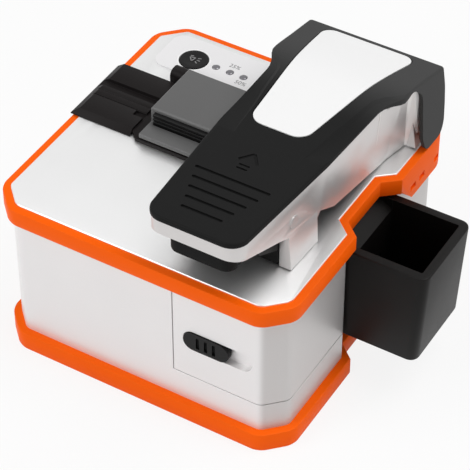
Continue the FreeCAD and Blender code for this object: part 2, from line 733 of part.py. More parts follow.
def lamp_button():
    top = DECK_TOP + BUTTON_RISE
    at = (BUTTON_X, BUTTON_Y)
    flange_top = DECK_BOTTOM - BUTTON_GAP
    cap = rod("z", BUTTON_RADIUS, flange_top - BUTTON_FLANGE, top, at)
    cap = cap.makeFillet(BUTTON_EDGE, edges_at(cap, top))
    dish = Part.makeSphere(BUTTON_DISH_RADIUS, V(at[0], at[1], top + BUTTON_DISH_RADIUS - BUTTON_DISH_DEPTH))
    cap = cap.cut(dish)
    flange = rod("z", BUTTON_RADIUS + BUTTON_FLANGE_LAP, flange_top - BUTTON_FLANGE, flange_top, at)
    switch_top = BUTTON_BOARD_Z + BUTTON_BOARD_THICKNESS + SWITCH_HEIGHT
    stem = rod("z", BUTTON_STEM_RADIUS, switch_top + BUTTON_TRAVEL + SWITCH_GAP, flange_top - BUTTON_FLANGE, at)
    return one(cap.fuse([flange, stem]))


def helix_spring(radius, wire, height, turns, place, axis):
    """Coil spring from place along axis."""
    path = Part.makeHelix((height - wire) / turns, height - wire, radius)
    profile = Part.Wire([Part.makeCircle(wire / 2, V(radius, 0, 0), V(0, 1, 0))])
    coil = Part.Wire(path).makePipeShell([profile], True, True)
    coil.translate(V(0, 0, wire / 2))
    coil.Placement = FreeCAD.Placement(place, FreeCAD.Rotation(V(0, 0, 1), axis)).multiply(coil.Placement)
    return coil


def indicator_leds():
    lamps = []
    for x in LED_X:
        lamp = rod("z", LED_RADIUS, DECK_BOTTOM, DECK_TOP + LED_RISE, (x, LED_Y))
        lamps.append(lamp.makeFillet(LED_RISE * 0.9, edges_at(lamp, DECK_TOP + LED_RISE)))
    return Part.makeCompound(lamps)


def control_overlay():
    left, right, front, rear = OVERLAY
    sheet = block((left, right), (front, rear), (DECK_TOP, DECK_TOP + OVERLAY_THICKNESS))
    sheet = sheet.makeFillet(OVERLAY_CORNER, [e for e in sheet.Edges if e.BoundBox.ZLength > 0.1])
    sheet = sheet.cut(rod("z", BUTTON_RADIUS + BUTTON_GAP, DECK_TOP - 1, DECK_TOP + 1, (BUTTON_X, BUTTON_Y)))
    for x in LED_X:
        sheet = sheet.cut(rod("z", LED_RADIUS, DECK_TOP - 1, DECK_TOP + 1, (x, LED_Y)))
    return sheet


# ---------------------------------------------------------------- guide plate, stage and lid
def fibre_groove(left, right, top):
    """V groove along the fibre line."""
    half = GROOVE_WIDTH / 2
    return prism_x([(FIBRE_Y - half, top + 0.01), (FIBRE_Y, top - half), (FIBRE_Y + half, top + 0.01)], left, right)


def guide_plate():
    side = [(GUIDE_FRONT, DECK_TOP), (GUIDE_REAR, DECK_TOP), (GUIDE_REAR, GUIDE_TOP),
            (GUIDE_FRONT + GUIDE_FRONT_BEVEL, GUIDE_TOP), (GUIDE_FRONT, DECK_TOP + 0.3)]
    front = [(GUIDE_LEFT, DECK_TOP), (GUIDE_RIGHT, DECK_TOP), (GUIDE_RIGHT, GUIDE_TOP),
             (GUIDE_LEFT + GUIDE_SIDE_BEVEL, GUIDE_TOP), (GUIDE_LEFT, DECK_TOP + 0.3)]
    plate = prism_x(side, GUIDE_LEFT, GUIDE_RIGHT).common(prism_y(front, GUIDE_FRONT, GUIDE_REAR))
    over = GUIDE_TOP + 1
    full = (GUIDE_LEFT - 1, GUIDE_RIGHT + 1)
    plate = plate.cut(block(full, GUIDE_CHANNEL, (GUIDE_TOP - GUIDE_CHANNEL_DEPTH, over)))
    plate = plate.cut(fibre_groove(full[0], full[1], GUIDE_TOP))
    line = FIBRE_Y - 2.8
    plate = plate.cut(block(full, (line - 0.2, line + 0.2), (GUIDE_TOP - 0.3, over)))
    pocket = block((GUIDE_RIGHT - 3.5, GUIDE_RIGHT + 1), (line - 2.4, line), (GUIDE_TOP - 1.0, over))
    return plate.cut(pocket)


def clamp_stage():
    """Black plate beside the guide plate, with the two lugs of the lid's hinge."""
    top = DECK_TOP + STAGE_THICKNESS
    outline = [(GUIDE_RIGHT, STAGE_FRONT + STAGE_CORNER), (GUIDE_RIGHT + STAGE_CORNER, STAGE_FRONT),
               (STAGE_RIGHT, STAGE_FRONT), (STAGE_RIGHT, LUG_FRONT), (GUIDE_RIGHT, LUG_FRONT)]
    stage = prism_z(outline, DECK_TOP, top)
    for lug in (LUG_LEFT, LUG_RIGHT):
        ear = block(lug, (LUG_FRONT, LUG_REAR), (DECK_TOP, LUG_TOP))
        stage = stage.fuse(ear.makeFillet(LUG_ROUND, [e for e in edges_at(ear, LUG_TOP) if e.BoundBox.YLength < 0.1]))
    stage = one(stage)
    bore = rod("x", LID_PIN_RADIUS, LUG_LEFT[0] + 1.5, LUG_RIGHT[1] - 1.0, (LID_PIN_Y, LID_PIN_Z))
    stage = stage.cut(bore).cut(fibre_groove(GUIDE_RIGHT - 1, STAGE_RIGHT + 1, top))
    return stage.cut(lower_lid_pad())


def lid_pad_x():
    return STAGE_RIGHT - 2.0 - PAD_LENGTH, STAGE_RIGHT - 2.0


def lower_lid_pad():
    y = (FIBRE_Y - PAD_WIDTH / 2, FIBRE_Y + PAD_WIDTH / 2)
    return block(lid_pad_x(), y, (DECK_TOP + STAGE_THICKNESS - 0.8, FIBRE_Z - PAD_GAP / 2))


def upper_lid_pad():
    y = (FIBRE_Y - PAD_WIDTH / 2, FIBRE_Y + PAD_WIDTH / 2)
    return block(lid_pad_x(), y, (FIBRE_Z + PAD_GAP / 2, lid_core_bottom()))


def lid_core_bottom():
    return LID_TAB_TOP + 0.1


def lid_cover():
    """Tinted lid: raised panel, two side skirts, front finger tab and hinge barrel."""
    x = (LID_LEFT, LID_RIGHT)
    tab_bottom = LID_TAB_TOP - LID_TAB_THICKNESS
    side = [(LID_TAB_FRONT, tab_bottom), (LID_PANEL_REAR, tab_bottom), (LID_PANEL_REAR, LID_TOP),
            (LID_PANEL_FRONT, LID_TOP), (LID_PANEL_FRONT, LID_TAB_TOP), (LID_TAB_FRONT, LID_TAB_TOP)]
    lid = prism_x(side, x[0], x[1])
    top_edges = [e for e in lid.Edges if e.BoundBox.ZMin > LID_TOP - 0.01]
    lid = lid.makeChamfer(0.5, top_edges)
    hollow = block((x[0] + LID_SKIN, x[1] - LID_SKIN), (LID_CORE_FRONT - 0.1, LID_PANEL_REAR - LID_SKIN),
                   (tab_bottom - 1, LID_TOP - LID_SKIN))
    lid = lid.cut(hollow)
    barrel_x = (LUG_LEFT[1] + SIDE_CLEARANCE, LUG_RIGHT[0] - SIDE_CLEARANCE)
    barrel = rod("x", LID_BARREL_RADIUS, barrel_x[0], barrel_x[1], (LID_PIN_Y, LID_PIN_Z))
    web = block(barrel_x, (LID_PANEL_REAR - LID_SKIN, LID_PIN_Y), (LID_PIN_Z - 0.5, LID_PIN_Z + LID_BARREL_RADIUS))
    lid = one(lid.fuse([barrel, web]))
    swing = math.hypot(LUG_REAR - LID_PIN_Y, LUG_TOP - LID_PIN_Z) + SIDE_CLEARANCE
    lid = lid.cut(rod("x", swing, barrel_x[1], LID_RIGHT + 1, (LID_PIN_Y, LID_PIN_Z)))
    return lid.cut(rod("x", LID_PIN_RADIUS + PIN_CLEARANCE, barrel_x[0] - 1, barrel_x[1] + 1, (LID_PIN_Y, LID_PIN_Z)))


def lid_core():
    """Black block inside the lid that carries the upper pad; its ribbed front shows."""
    x = (LID_LEFT + LID_SKIN, LID_RIGHT - LID_SKIN)
    core = block(x, (LID_CORE_FRONT, LID_PANEL_REAR - LID_SKIN), (lid_core_bottom(), LID_TOP - LID_SKIN))
    height = LID_TOP - LID_SKIN - lid_core_bottom()
    for share in (0.35, 0.7):
        z = lid_core_bottom() + height * share
        core = core.cut(block((x[0] - 1, x[1] + 1), (LID_CORE_FRONT - 1, LID_CORE_FRONT + 0.5), (z - 0.2, z + 0.2)))
    return core


def lid_hinge_pin():
    return rod("x", LID_PIN_RADIUS, LUG_LEFT[0] + 1.5, LUG_RIGHT[1] - 1.0, (LID_PIN_Y, LID_PIN_Z))


# ---------------------------------------------------------------- clamps beside the blade
def blade_z():
    return FIBRE_Z - BLADE_GAP - BLADE_RADIUS


def blade_pad_ranges():
    """X ranges of the pads on each side of the blade."""
    near = 1.6
    length = PAD_LENGTH * 0.55
    return [(BLADE_X - near - length, BLADE_X - near), (BLADE_X + near, BLADE_X + near + length)]


def lower_clamp_blocks():
    """Two low blocks under the pads, one on each side of the blade's slot."""
    x = (blade_pad_ranges()[0][0] - 1, blade_pad_ranges()[1][1] + 1)
    y = (FIBRE_Y - PAD_WIDTH / 2 - 1.5, FIBRE_Y + PAD_WIDTH / 2 + 1.5)
    clamp = block(x, y, (DECK_TOP, DECK_TOP + STAGE_THICKNESS))
    gap = block((BLADE_X - BLADE_THICKNESS, BLADE_X + BLADE_THICKNESS), (y[0] - 1, y[1] + 1), (DECK_TOP - 1, DECK_TOP + 3))
    return clamp.cut(gap).cut(lower_blade_pads())


def blade_pads(bottom, top):
    y = (FIBRE_Y - PAD_WIDTH / 2, FIBRE_Y + PAD_WIDTH / 2)
    return Part.makeCompound([block(x, y, (bottom, top)) for x in blade_pad_ranges()])


def lower_blade_pads():
    return blade_pads(DECK_TOP + STAGE_THICKNESS - 0.8, FIBRE_Z - PAD_GAP / 2)


def upper_blade_pads():
    return blade_pads(FIBRE_Z + PAD_GAP / 2, CORE_LOW)


def anvil():
    """Small steel anvil above the blade, between the upper pads."""
    y = (FIBRE_Y - 2.0, FIBRE_Y + 2.0)
    return block((BLADE_X - 0.8, BLADE_X + 0.8), y, (FIBRE_Z + PAD_GAP, CORE_LOW))


# ---------------------------------------------------------------- lever arm
def top_profile(drop):
    """Points (y, z) along the arm's top, lowered by a drop."""
    return [(ARM_FRONT, ARM_TOP_TIP - drop), (ARM_WAIST_Y, ARM_TOP_WAIST - drop),
            (ARM_SADDLE_Y - 1, ARM_TOP_SADDLE - drop), (HINGE_Y + LEG_SWEEP - 1.2, ARM_TOP_REAR - drop)]


def core_pin_z():
    return top_height(CORE_PIN_Y) - CORE_PIN_DEPTH


def top_height(y):
    """Height of the sloping top between the tip and the waist."""
    share = (y - ARM_FRONT) / (ARM_WAIST_Y - ARM_FRONT)
    return ARM_TOP_TIP + (ARM_TOP_WAIST - ARM_TOP_TIP) * share


def cover_plan():
    rear = HINGE_Y + LEG_SWEEP
    return mirrored([(ARM_TIP_HALF - 0.4, ARM_FRONT), (ARM_TIP_HALF, ARM_FRONT + 7), (ARM_WAIST_HALF, ARM_WAIST_Y),
                     (ARM_NECK_HALF, ARM_NECK_Y), (ARM_SADDLE_HALF, ARM_SADDLE_Y + 1), (ARM_SADDLE_HALF, rear)])


def rounded_plan(points, bottom, top, radius, keep):
    solid = prism_z(points, bottom, top)
    return solid.makeFillet(radius, upright_edges(solid, keep))


def arm_strip(low_drop, high_drop):
    """Layer between two drops below the arm's top line, right across the arm."""
    upper = top_profile(high_drop)
    lower = top_profile(low_drop)
    return prism_x(upper + lower[::-1], ARM_X - HUGE / 2, ARM_X + HUGE / 2)


def sweep_limit(radius):
    """Space in front of the hinge, or within a radius of its pin."""
    ahead = block((-HUGE, HUGE), (-HUGE, HINGE_Y), (DECK_TOP + FRAME_CLEARANCE, HUGE))
    above = block((-HUGE, HUGE), (-HUGE, HINGE_Y + radius), (HINGE_Z, HUGE))
    return one(ahead.fuse([above, rod("x", radius, -HUGE, HUGE, (HINGE_Y, HINGE_Z))]))


def leg(side, inner_offset, thickness, front, top):
    """Sloping side plate of the saddle; side is +1 right, -1 left."""
    bottom = DECK_TOP + FRAME_CLEARANCE
    slope = (LEG_FOOT_HALF - ARM_SADDLE_HALF) / (LEG_TOP - bottom)
    high = ARM_SADDLE_HALF - (top - LEG_TOP) * slope - inner_offset
    low = LEG_FOOT_HALF - inner_offset
    points = [(ARM_X + side * high, top), (ARM_X + side * low, bottom),
              (ARM_X + side * (low - thickness), bottom), (ARM_X + side * (high - thickness), top)]
    return prism_y(points, front, HINGE_Y + LEG_SWEEP)


def leg_outline():
    """Side outline of the legs, pushed right across the arm and open upwards."""
    top = (LEG_FRONT_EDGE[-1][0], HUGE / 2), (HINGE_Y + LEG_SWEEP, HUGE / 2)
    rear = (HINGE_Y + LEG_SWEEP, LEG_REAR_EDGE[0][1])
    points = list(LEG_FRONT_EDGE) + [top[0], top[1], rear] + list(LEG_REAR_EDGE)
    return prism_x(points, -HUGE, HUGE)


def arm_cover():
    """Black cover: ribbed top, saddle and two legs round the hinge."""
    plan = rounded_plan(cover_plan(), DECK_TOP, HUGE / 2, ARM_TIP_CORNER, lambda x, y: y < ARM_FRONT + 1)
    top = plan.common(arm_strip(COVER_THICKNESS, 0.0))
    bead = block((-HUGE, HUGE), (ARM_SADDLE_Y - 6, HUGE), (HINGE_Z, HUGE))
    saddle = plan.cut(prism_z(inset(cover_plan(), LEG_THICKNESS), DECK_TOP, HUGE / 2))
    saddle = saddle.common(arm_strip(COVER_THICKNESS + 1.6, 0.0)).common(bead)
    rear = plan.common(block((-HUGE, HUGE), (HINGE_Y + LEG_SWEEP - 2.0, HUGE), (REAR_WALL_BOTTOM, HUGE)))
    rear = rear.common(arm_strip(HINGE_Z, 0.0))
    cover = top.fuse([saddle, rear])
    for side in (-1, 1):
        plate = leg(side, 0.0, LEG_THICKNESS, ARM_SADDLE_Y, LEG_TOP).common(sweep_limit(LEG_SWEEP)).common(leg_outline())
        cover = cover.fuse(plate.common(arm_strip(HINGE_Z, 0.0)))
    cover = one(cover)
    return cover.cut(finger_ribs())


def finger_ribs():
    """Grooves across the tip; each is shorter than the one behind it."""
    grooves = []
    for i, length in enumerate(RIB_LENGTHS[:RIB_COUNT]):
        y = RIB_FIRST_Y - i * RIB_PITCH
        middle = ARM_X + RIB_SHIFT
        grooves.append(block((middle - length / 2, middle + length / 2), (y - RIB_WIDTH / 2, y + RIB_WIDTH / 2),
                             (top_height(y) - RIB_GROOVE, HUGE)))
    return Part.makeCompound(grooves)


def frame_plans():
    """Plan of the frame at the deck and at the top; the walls lean between them."""
    tip = ARM_TIP_HALF - FRAME_INSET
    low = [(tip - 0.4, ARM_FRONT + FRAME_INSET), (tip, ARM_FRONT + 7), (ARM_WAIST_HALF - 0.9, ARM_WAIST_Y),
           (ARM_NECK_HALF - 1.7, ARM_NECK_Y), (ARM_NECK_HALF - 1.6, ARM_SADDLE_Y - 2), (ARM_NECK_HALF + 0.3, WEB_Y)]
    high = [(tip - 0.4, ARM_FRONT + FRAME_INSET), (tip, ARM_FRONT + 7), (ARM_WAIST_HALF - FRAME_INSET, ARM_WAIST_Y),
            (ARM_NECK_HALF - FRAME_INSET, ARM_NECK_Y), (ARM_SADDLE_HALF - 0.8, ARM_SADDLE_Y + 1),
            (ARM_SADDLE_HALF - 0.6, WEB_Y)]
    return mirrored(low), mirrored(high)


def lofted(low, high, bottom, top):
    """Solid between two plans with the same number of corners."""
    wires = []
    for points, z in ((low, bottom), (high, top)):
        corners = [V(x, y, z) for x, y in points]
        wires.append(Part.makePolygon(corners + [corners[0]]))
    return Part.makeLoft(wires, True, True)


def frame_side_profile():
    """Side outline of the frame: tip lip, sloping edge, shoe, recess and rear."""
    floor = DECK_TOP + FRAME_CLEARANCE
    nose = [(ARM_FRONT, FRAME_LIP), (FRAME_NOSE_Y, FRAME_NOSE_DEPTH), (FRAME_THROAT_Y, FRAME_THROAT_DEPTH),
            (SHOE_FRONT, SHOE_ROOT_DEPTH)]
    sill = [(FRAME_SILL_Y[3], FRAME_SILL[2]), (FRAME_SILL_Y[2], FRAME_SILL[1]), (FRAME_SILL_Y[1], FRAME_SILL[0])]
    lower = [(y, top_height(y) - depth) for y, depth in nose]
    lower += [(SHOE_FRONT, floor), (SHOE_REAR, floor), (SHOE_REAR, FRAME_SILL[3])] + sill
    lower += [(FRAME_SILL_Y[0], floor), (WEB_Y + FRAME_WALL, floor)]
    upper = [(y, z) for y, z in top_profile(COVER_THICKNESS)[:3]]
    reach = (WEB_Y + FRAME_WALL - upper[-1][0]) / (HINGE_Y + LEG_SWEEP - 1.2 - upper[-1][0])
    end = upper[-1][1] + (ARM_TOP_REAR - ARM_TOP_SADDLE) * reach
    return lower + [(WEB_Y + FRAME_WALL, end)] + upper[::-1]


def arm_frame():
    """Silver channel: leaning side walls, front lip, webs and hinge ears."""
    low, high = frame_plans()
    bottom = DECK_TOP
    top = ARM_TOP_TIP + 2
    outer = lofted(low, high, bottom, top)
    outer = outer.makeFillet(ARM_TIP_CORNER - FRAME_INSET, upright_edges(outer, lambda x, y: y < ARM_FRONT + 1.5))
    cavity_low = [(x, y if y < ARM_SADDLE_Y + 3 else y + 5) for x, y in inset(low, FRAME_WALL)]
    cavity_high = [(x, y if y < ARM_SADDLE_Y + 3 else y + 5) for x, y in inset(high, FRAME_WALL)]
    walls = outer.cut(lofted(cavity_low, cavity_high, bottom - 0.1, top + 0.1))
    roof = outer.common(arm_strip(COVER_THICKNESS + FRAME_WALL, COVER_THICKNESS))
    roof = roof.common(block((-HUGE, HUGE), (-HUGE, CORE_REAR + 2), (0, HUGE)))
    frame = walls.fuse(roof).common(prism_x(frame_side_profile(), -HUGE / 2, HUGE / 2))
    thickness = FRAME_WALL
    for side in (-1, 1):
        ear = leg(side, LEG_THICKNESS + 0.3, thickness, WEB_Y, LEG_TOP - 1.2)
        web = leg(side, LEG_THICKNESS + 0.3, 5.0, WEB_Y, LEG_TOP - 1.2)
        web = web.common(block((-HUGE, HUGE), (WEB_Y, WEB_Y + FRAME_WALL * 0.6), (0, HUGE)))
        ear = ear.fuse(web).common(sweep_limit(LEG_SWEEP - 0.3)).common(arm_strip(HINGE_Z, COVER_THICKNESS + 0.1))
        ear = ear.common(leg_outline().fuse(block((-HUGE, HUGE), (-HUGE, HINGE_Y), (0, HUGE))))
        ear = ear.cut(block((-HUGE, HUGE), (HINGE_Y + LEG_SWEEP - 2.3, HUGE), (0, HUGE)))
        frame = frame.fuse(ear)
    frame = one(frame.cut(arm_cover()))
    for y, z, r in ((HINGE_Y, HINGE_Z, HINGE_PIN_RADIUS), (CORE_PIN_Y, core_pin_z(), CORE_PIN_RADIUS)):
        frame = frame.cut(rod("x", r, -HUGE, HUGE, (y, z)))
    return frame


def arm_label_plate():
    """Thin pale plate on the arm's top, narrower at the front."""
    points = mirrored([(LABEL_FRONT_HALF, LABEL_FRONT), (LABEL_REAR_HALF, LABEL_REAR)])
    plate = rounded_plan(points, DECK_TOP, HUGE / 2, LABEL_CORNER, lambda x, y: True)
    return plate.common(arm_strip(0.0, -LABEL_THICKNESS))


def arm_pad():
    """Rubber block under the tip, just behind the lip."""
    pad = block((ARM_X - ARM_PAD_HALF, ARM_X + ARM_PAD_HALF), (ARM_PAD_FRONT, ARM_PAD_REAR), (ARM_PAD_BOTTOM, ARM_TOP_TIP))
    pad = pad.makeFillet(ARM_PAD_CORNER, upright_edges(pad, lambda x, y: y < ARM_PAD_FRONT + 1))
    return pad.common(arm_strip(HINGE_Z, COVER_THICKNESS + FRAME_WALL))


def arm_core():
    """Black block inside the frame that carries the clamps, anvil and pinch roller."""
    side = [(CORE_FRONT, CORE_HIGH + 6), (CORE_FRONT + 10, CORE_HIGH), (CORE_STEP_Y, CORE_HIGH),
            (CORE_STEP_Y, CORE_LOW), (CORE_REAR, CORE_LOW), (CORE_REAR, ARM_TOP_TIP), (CORE_FRONT, ARM_TOP_TIP)]
    core = prism_x(side, ARM_X - CORE_HALF, ARM_X + CORE_HALF).common(arm_strip(HINGE_Z, COVER_THICKNESS + FRAME_WALL))
    core = core.cut(rod("x", CORE_PIN_RADIUS, -HUGE, HUGE, (CORE_PIN_Y, core_pin_z())))
    y = pinch_range()
    gap = SIDE_CLEARANCE
    bay = block((ROLLER_X - PINCH_RADIUS - gap, HUGE), (y[0] - gap, y[1] + gap), (0, pinch_z() + PINCH_RADIUS + gap))
    core = core.cut(bay)
    return core.cut(rod("y", ROLLER_AXLE_RADIUS + PIN_CLEARANCE, y[0] - 1.7, y[1] + 1.7, (ROLLER_X, pinch_z())))


def core_pin():
    half = ARM_WAIST_HALF - 1.3
    return rod("x", CORE_PIN_RADIUS, ARM_X - half, ARM_X + half, (CORE_PIN_Y, core_pin_z()))


def clamp_knob():
    """Small knurled adjuster on the side of the core, seen in the frame's recess."""
    start = ARM_X + CORE_HALF
    head = rod("x", KNOB_RADIUS, start, start + 1.4, (KNOB_Y, KNOB_Z))
    for i in range(8):
        a = math.radians(i * 45)
        notch = rod("x", 0.35, start - 1, start + 3, (KNOB_Y + KNOB_RADIUS * math.cos(a), KNOB_Z + KNOB_RADIUS * math.sin(a)))
        head = head.cut(notch)
    return head


# ---------------------------------------------------------------- hinge and drive
def hinge_brackets():
    """Two flanged ears on the deck that carry the arm's pin."""
    ears = []
    for ear_x, flange_x in zip(BRACKET_EARS, BRACKET_FLANGES):
        flange = block(flange_x, (HINGE_Y - BRACKET_FRONT, HINGE_Y + BRACKET_REAR),
                       (DECK_TOP, DECK_TOP + BRACKET_FLANGE_THICKNESS))
        side = [(HINGE_Y - BRACKET_FOOT_FRONT, DECK_TOP), (HINGE_Y + BRACKET_REAR, DECK_TOP),
                (HINGE_Y + BRACKET_EYE_HALF, HINGE_Z), (HINGE_Y - BRACKET_EYE_HALF, HINGE_Z)]
        ear = prism_x(side, ear_x[0], ear_x[1]).fuse(rod("x", BRACKET_EYE, ear_x[0], ear_x[1], (HINGE_Y, HINGE_Z)))
        bracket = one(flange.fuse(ear))
        bracket = bracket.cut(rod("x", HINGE_PIN_RADIUS + PIN_CLEARANCE, ear_x[0] - 1, ear_x[1] + 1, (HINGE_Y, HINGE_Z)))
        ears.append(bracket)
    return Part.makeCompound(ears)


def ear_pin_half():
    """Half length of the hinge pin, flush with the outside of the frame's ears."""
    slope = (LEG_FOOT_HALF - ARM_SADDLE_HALF) / (LEG_TOP - DECK_TOP - FRAME_CLEARANCE)
    return ARM_SADDLE_HALF + (LEG_TOP - HINGE_Z) * slope - LEG_THICKNESS - 0.6


def hinge_pin():
    return rod("x", HINGE_PIN_RADIUS, ARM_X - ear_pin_half(), ARM_X + ear_pin_half(), (HINGE_Y, HINGE_Z))


def arm_spring():
    """Torsion spring round the hinge pin, between the left ear and the lever."""
    return helix_spring(3.2, 0.8, 10.4, 7, V(14.8, HINGE_Y, HINGE_Z), V(1, 0, 0))


def drive_place():
    angle = math.radians(DRIVE_START)
    return HINGE_Y + DRIVE_RADIUS * math.sin(angle), HINGE_Z - DRIVE_RADIUS * math.cos(angle)


def drive_lever():
    """Arm's inner lever: from the core over the hinge pin to the drive pin."""
    y, z = drive_place()
    x0, x1 = LEVER_X
    roof = ARM_TOP_SADDLE - COVER_THICKNESS - FRAME_WALL
    beam = [(CORE_REAR, roof - 7), (CORE_REAR, roof), (HINGE_Y - 2, HINGE_Z + 4.2), (HINGE_Y + 3.5, HINGE_Z + 1.5),
            (y + 1.8, z), (y - 1.8, z), (HINGE_Y - 3.8, HINGE_Z - 0.5)]
    lever = prism_x(beam, x0, x1).fuse([rod("x", 4.2, x0, x1, (HINGE_Y, HINGE_Z)), rod("x", 2.1, x0, x1, (y, z))])
    lever = one(lever).cut(rod("x", HINGE_PIN_RADIUS, x0 - 1, x1 + 1, (HINGE_Y, HINGE_Z)))
    return lever.cut(rod("x", DRIVE_PIN_RADIUS, x0 - 1, x1 + 1, (y, z)))


def drive_pin():
    y, z = drive_place()
    return rod("x", DRIVE_PIN_RADIUS, LEVER_X[0], BAR_X[1] + 0.4, (y, z))


def drive_bar():
    """Sliding bar on the deck: slotted end round the drive pin, tab down to the carriage."""
    y, _ = drive_place()
    low = DECK_TOP + BAR_CLEARANCE
    top = low + BAR_THICKNESS
    fork = block(BAR_X, (y - 3.5, y + 3.4), (low, HINGE_Z - DRIVE_RADIUS * 0.8 + DRIVE_PIN_RADIUS + 1.8))
    strip = block(BAR_X, (TAB_Y, y), (low, top))
    tab = block(BAR_X, (TAB_Y, TAB_Y + TAB_DEPTH), (CARRIAGE_TOP, top))
    bar = one(fork.fuse([strip, tab]))
    slot_half = DRIVE_PIN_RADIUS + DRIVE_CLEARANCE
    slot_low = HINGE_Z - DRIVE_RADIUS - DRIVE_PIN_RADIUS - DRIVE_CLEARANCE
    slot_high = HINGE_Z - DRIVE_RADIUS * math.cos(math.radians(DRIVE_START + 6)) + slot_half
    return bar.cut(block((BAR_X[0] - 1, BAR_X[1] + 1), (y - slot_half, y + slot_half), (slot_low, slot_high)))


def carriage_y():
    return BLADE_REST_Y - CARRIAGE_HALF_DEPTH, BLADE_REST_Y + CARRIAGE_HALF_DEPTH


def blade_carriage():
    """Block on two rods; its cheek carries the blade's axle."""
    y = carriage_y()
    block_a = block(CARRIAGE, y, (CARRIAGE_BOTTOM, CARRIAGE_TOP))
    tail = block((BAR_X[0] - 2, CARRIAGE[1]), (y[1] - 1, TAB_Y + TAB_DEPTH + 1), (CARRIAGE_BOTTOM, CARRIAGE_TOP))
    cheek = block((CARRIAGE[0], CARRIAGE[0] + 3.4), (BLADE_REST_Y - 4, BLADE_REST_Y + 4), (CARRIAGE_TOP, DECK_BOTTOM - 0.8))
    carriage = one(block_a.fuse([tail, cheek]))
    for x in ROD_X:
        carriage = carriage.cut(rod("y", ROD_RADIUS + PIN_CLEARANCE, ROD_FRONT, ROD_REAR, (x, ROD_Z)))
    return carriage.cut(rod("x", AXLE_RADIUS, CARRIAGE[0] - 1, CARRIAGE[0] + 6, (BLADE_REST_Y, blade_z())))


def blade_axle():
    """Shouldered screw in the carriage; the blade turns on it."""
    start = BLADE_X - BLADE_THICKNESS / 2 - 0.6
    shank = rod("x", AXLE_RADIUS, start, CARRIAGE[0] + 3.4, (BLADE_REST_Y, blade_z()))
    head = rod("x", 2.4, start - 0.8, start, (BLADE_REST_Y, blade_z()))
    return one(shank.fuse(head))


def blade_wheel():
    """Round carbide blade with a bevelled edge."""
    centre = BLADE_X
    half = BLADE_THICKNESS / 2
    wheel = rod("x", BLADE_RADIUS, centre - half, centre + half, (BLADE_REST_Y, blade_z()))
    wheel = wheel.makeChamfer(half * 0.8, [e for e in wheel.Edges if e.BoundBox.XLength < 0.01])
    return wheel.cut(rod("x", AXLE_RADIUS + PIN_CLEARANCE, centre - 2, centre + 2, (BLADE_REST_Y, blade_z())))


def guide_rods():
    return Part.makeCompound([rod("y", ROD_RADIUS, ROD_FRONT, ROD_REAR, (x, ROD_Z)) for x in ROD_X])


def rod_holders():
    """Two hangers under the deck that hold the rods' ends."""
    holders = []
    for y in ((ROD_FRONT, ROD_FRONT + HOLDER_THICKNESS), (ROD_REAR - HOLDER_THICKNESS, ROD_REAR)):
        hanger = block(CARRIAGE, y, (CARRIAGE_BOTTOM + 0.5, DECK_BOTTOM))
        for x in ROD_X:
            hanger = hanger.cut(rod("y", ROD_RADIUS, ROD_FRONT - 1, ROD_REAR + 1, (x, ROD_Z)))
        holders.append(hanger)
    return Part.makeCompound(holders)


# ---------------------------------------------------------------- scrap rollers
def roller_range():
    return FIBRE_Y - ROLLER_LENGTH / 2, FIBRE_Y + ROLLER_LENGTH / 2


def roller_z():
    return FIBRE_Z - 0.1 - ROLLER_RADIUS


def pinch_range():
    return FIBRE_Y - ROLLER_LENGTH / 2 + 2, FIBRE_Y + ROLLER_LENGTH / 2 - 2


def pinch_z():
    return FIBRE_Z + 0.1 + PINCH_RADIUS


def roller_window(z):
    """Opening in the deck for the roller, its axle and its pulley."""
    y = roller_range()
    pulley_y = pulley_range()
    gap = ROLLER_WINDOW_GAP
    belt = PULLEY_RADIUS + BELT_THICKNESS + 0.3
    roller = block((ROLLER_X - ROLLER_RADIUS - gap, ROLLER_X + ROLLER_RADIUS + gap), (y[0] - gap, y[1] + gap), z)
    axle = block((ROLLER_X - ROLLER_AXLE_RADIUS - 0.3, ROLLER_X + ROLLER_AXLE_RADIUS + 0.3), (y[0] - 2.3, pulley_y[1]), z)
    pulley = block((ROLLER_X - belt, ROLLER_X + belt), (pulley_y[0] - 0.2, pulley_y[1] + 0.2), z)
    return one(roller.fuse([axle, pulley]))


def drive_roller():
    """Rubber roller in the deck window; takes the fibre offcut to the bin."""
    y = roller_range()
    return rod("y", ROLLER_RADIUS, y[0], y[1], (ROLLER_X, roller_z())).cut(roller_axle())


def pulley_range():
    end = roller_range()[1] + 3.0
    return end, end + PULLEY_WIDTH


def roller_axle():
    """Steel axle of the roller with its toothless pulley at the rear."""
    y = pulley_range()
    axle = rod("y", ROLLER_AXLE_RADIUS, roller_range()[0] - 2.0, y[1], (ROLLER_X, roller_z()))
    return one(axle.fuse(rod("y", PULLEY_RADIUS, y[0], y[1], (ROLLER_X, roller_z()))))


def pinch_roller():
    """Roller in the arm that presses the offcut on the driven one, with stub axles."""
    y = pinch_range()
    roller = rod("y", PINCH_RADIUS, y[0], y[1], (ROLLER_X, pinch_z()))
    return one(roller.fuse(rod("y", ROLLER_AXLE_RADIUS, y[0] - 1.5, y[1] + 1.5, (ROLLER_X, pinch_z()))))


def motor_start():
    return pulley_range()[1] + 1.0


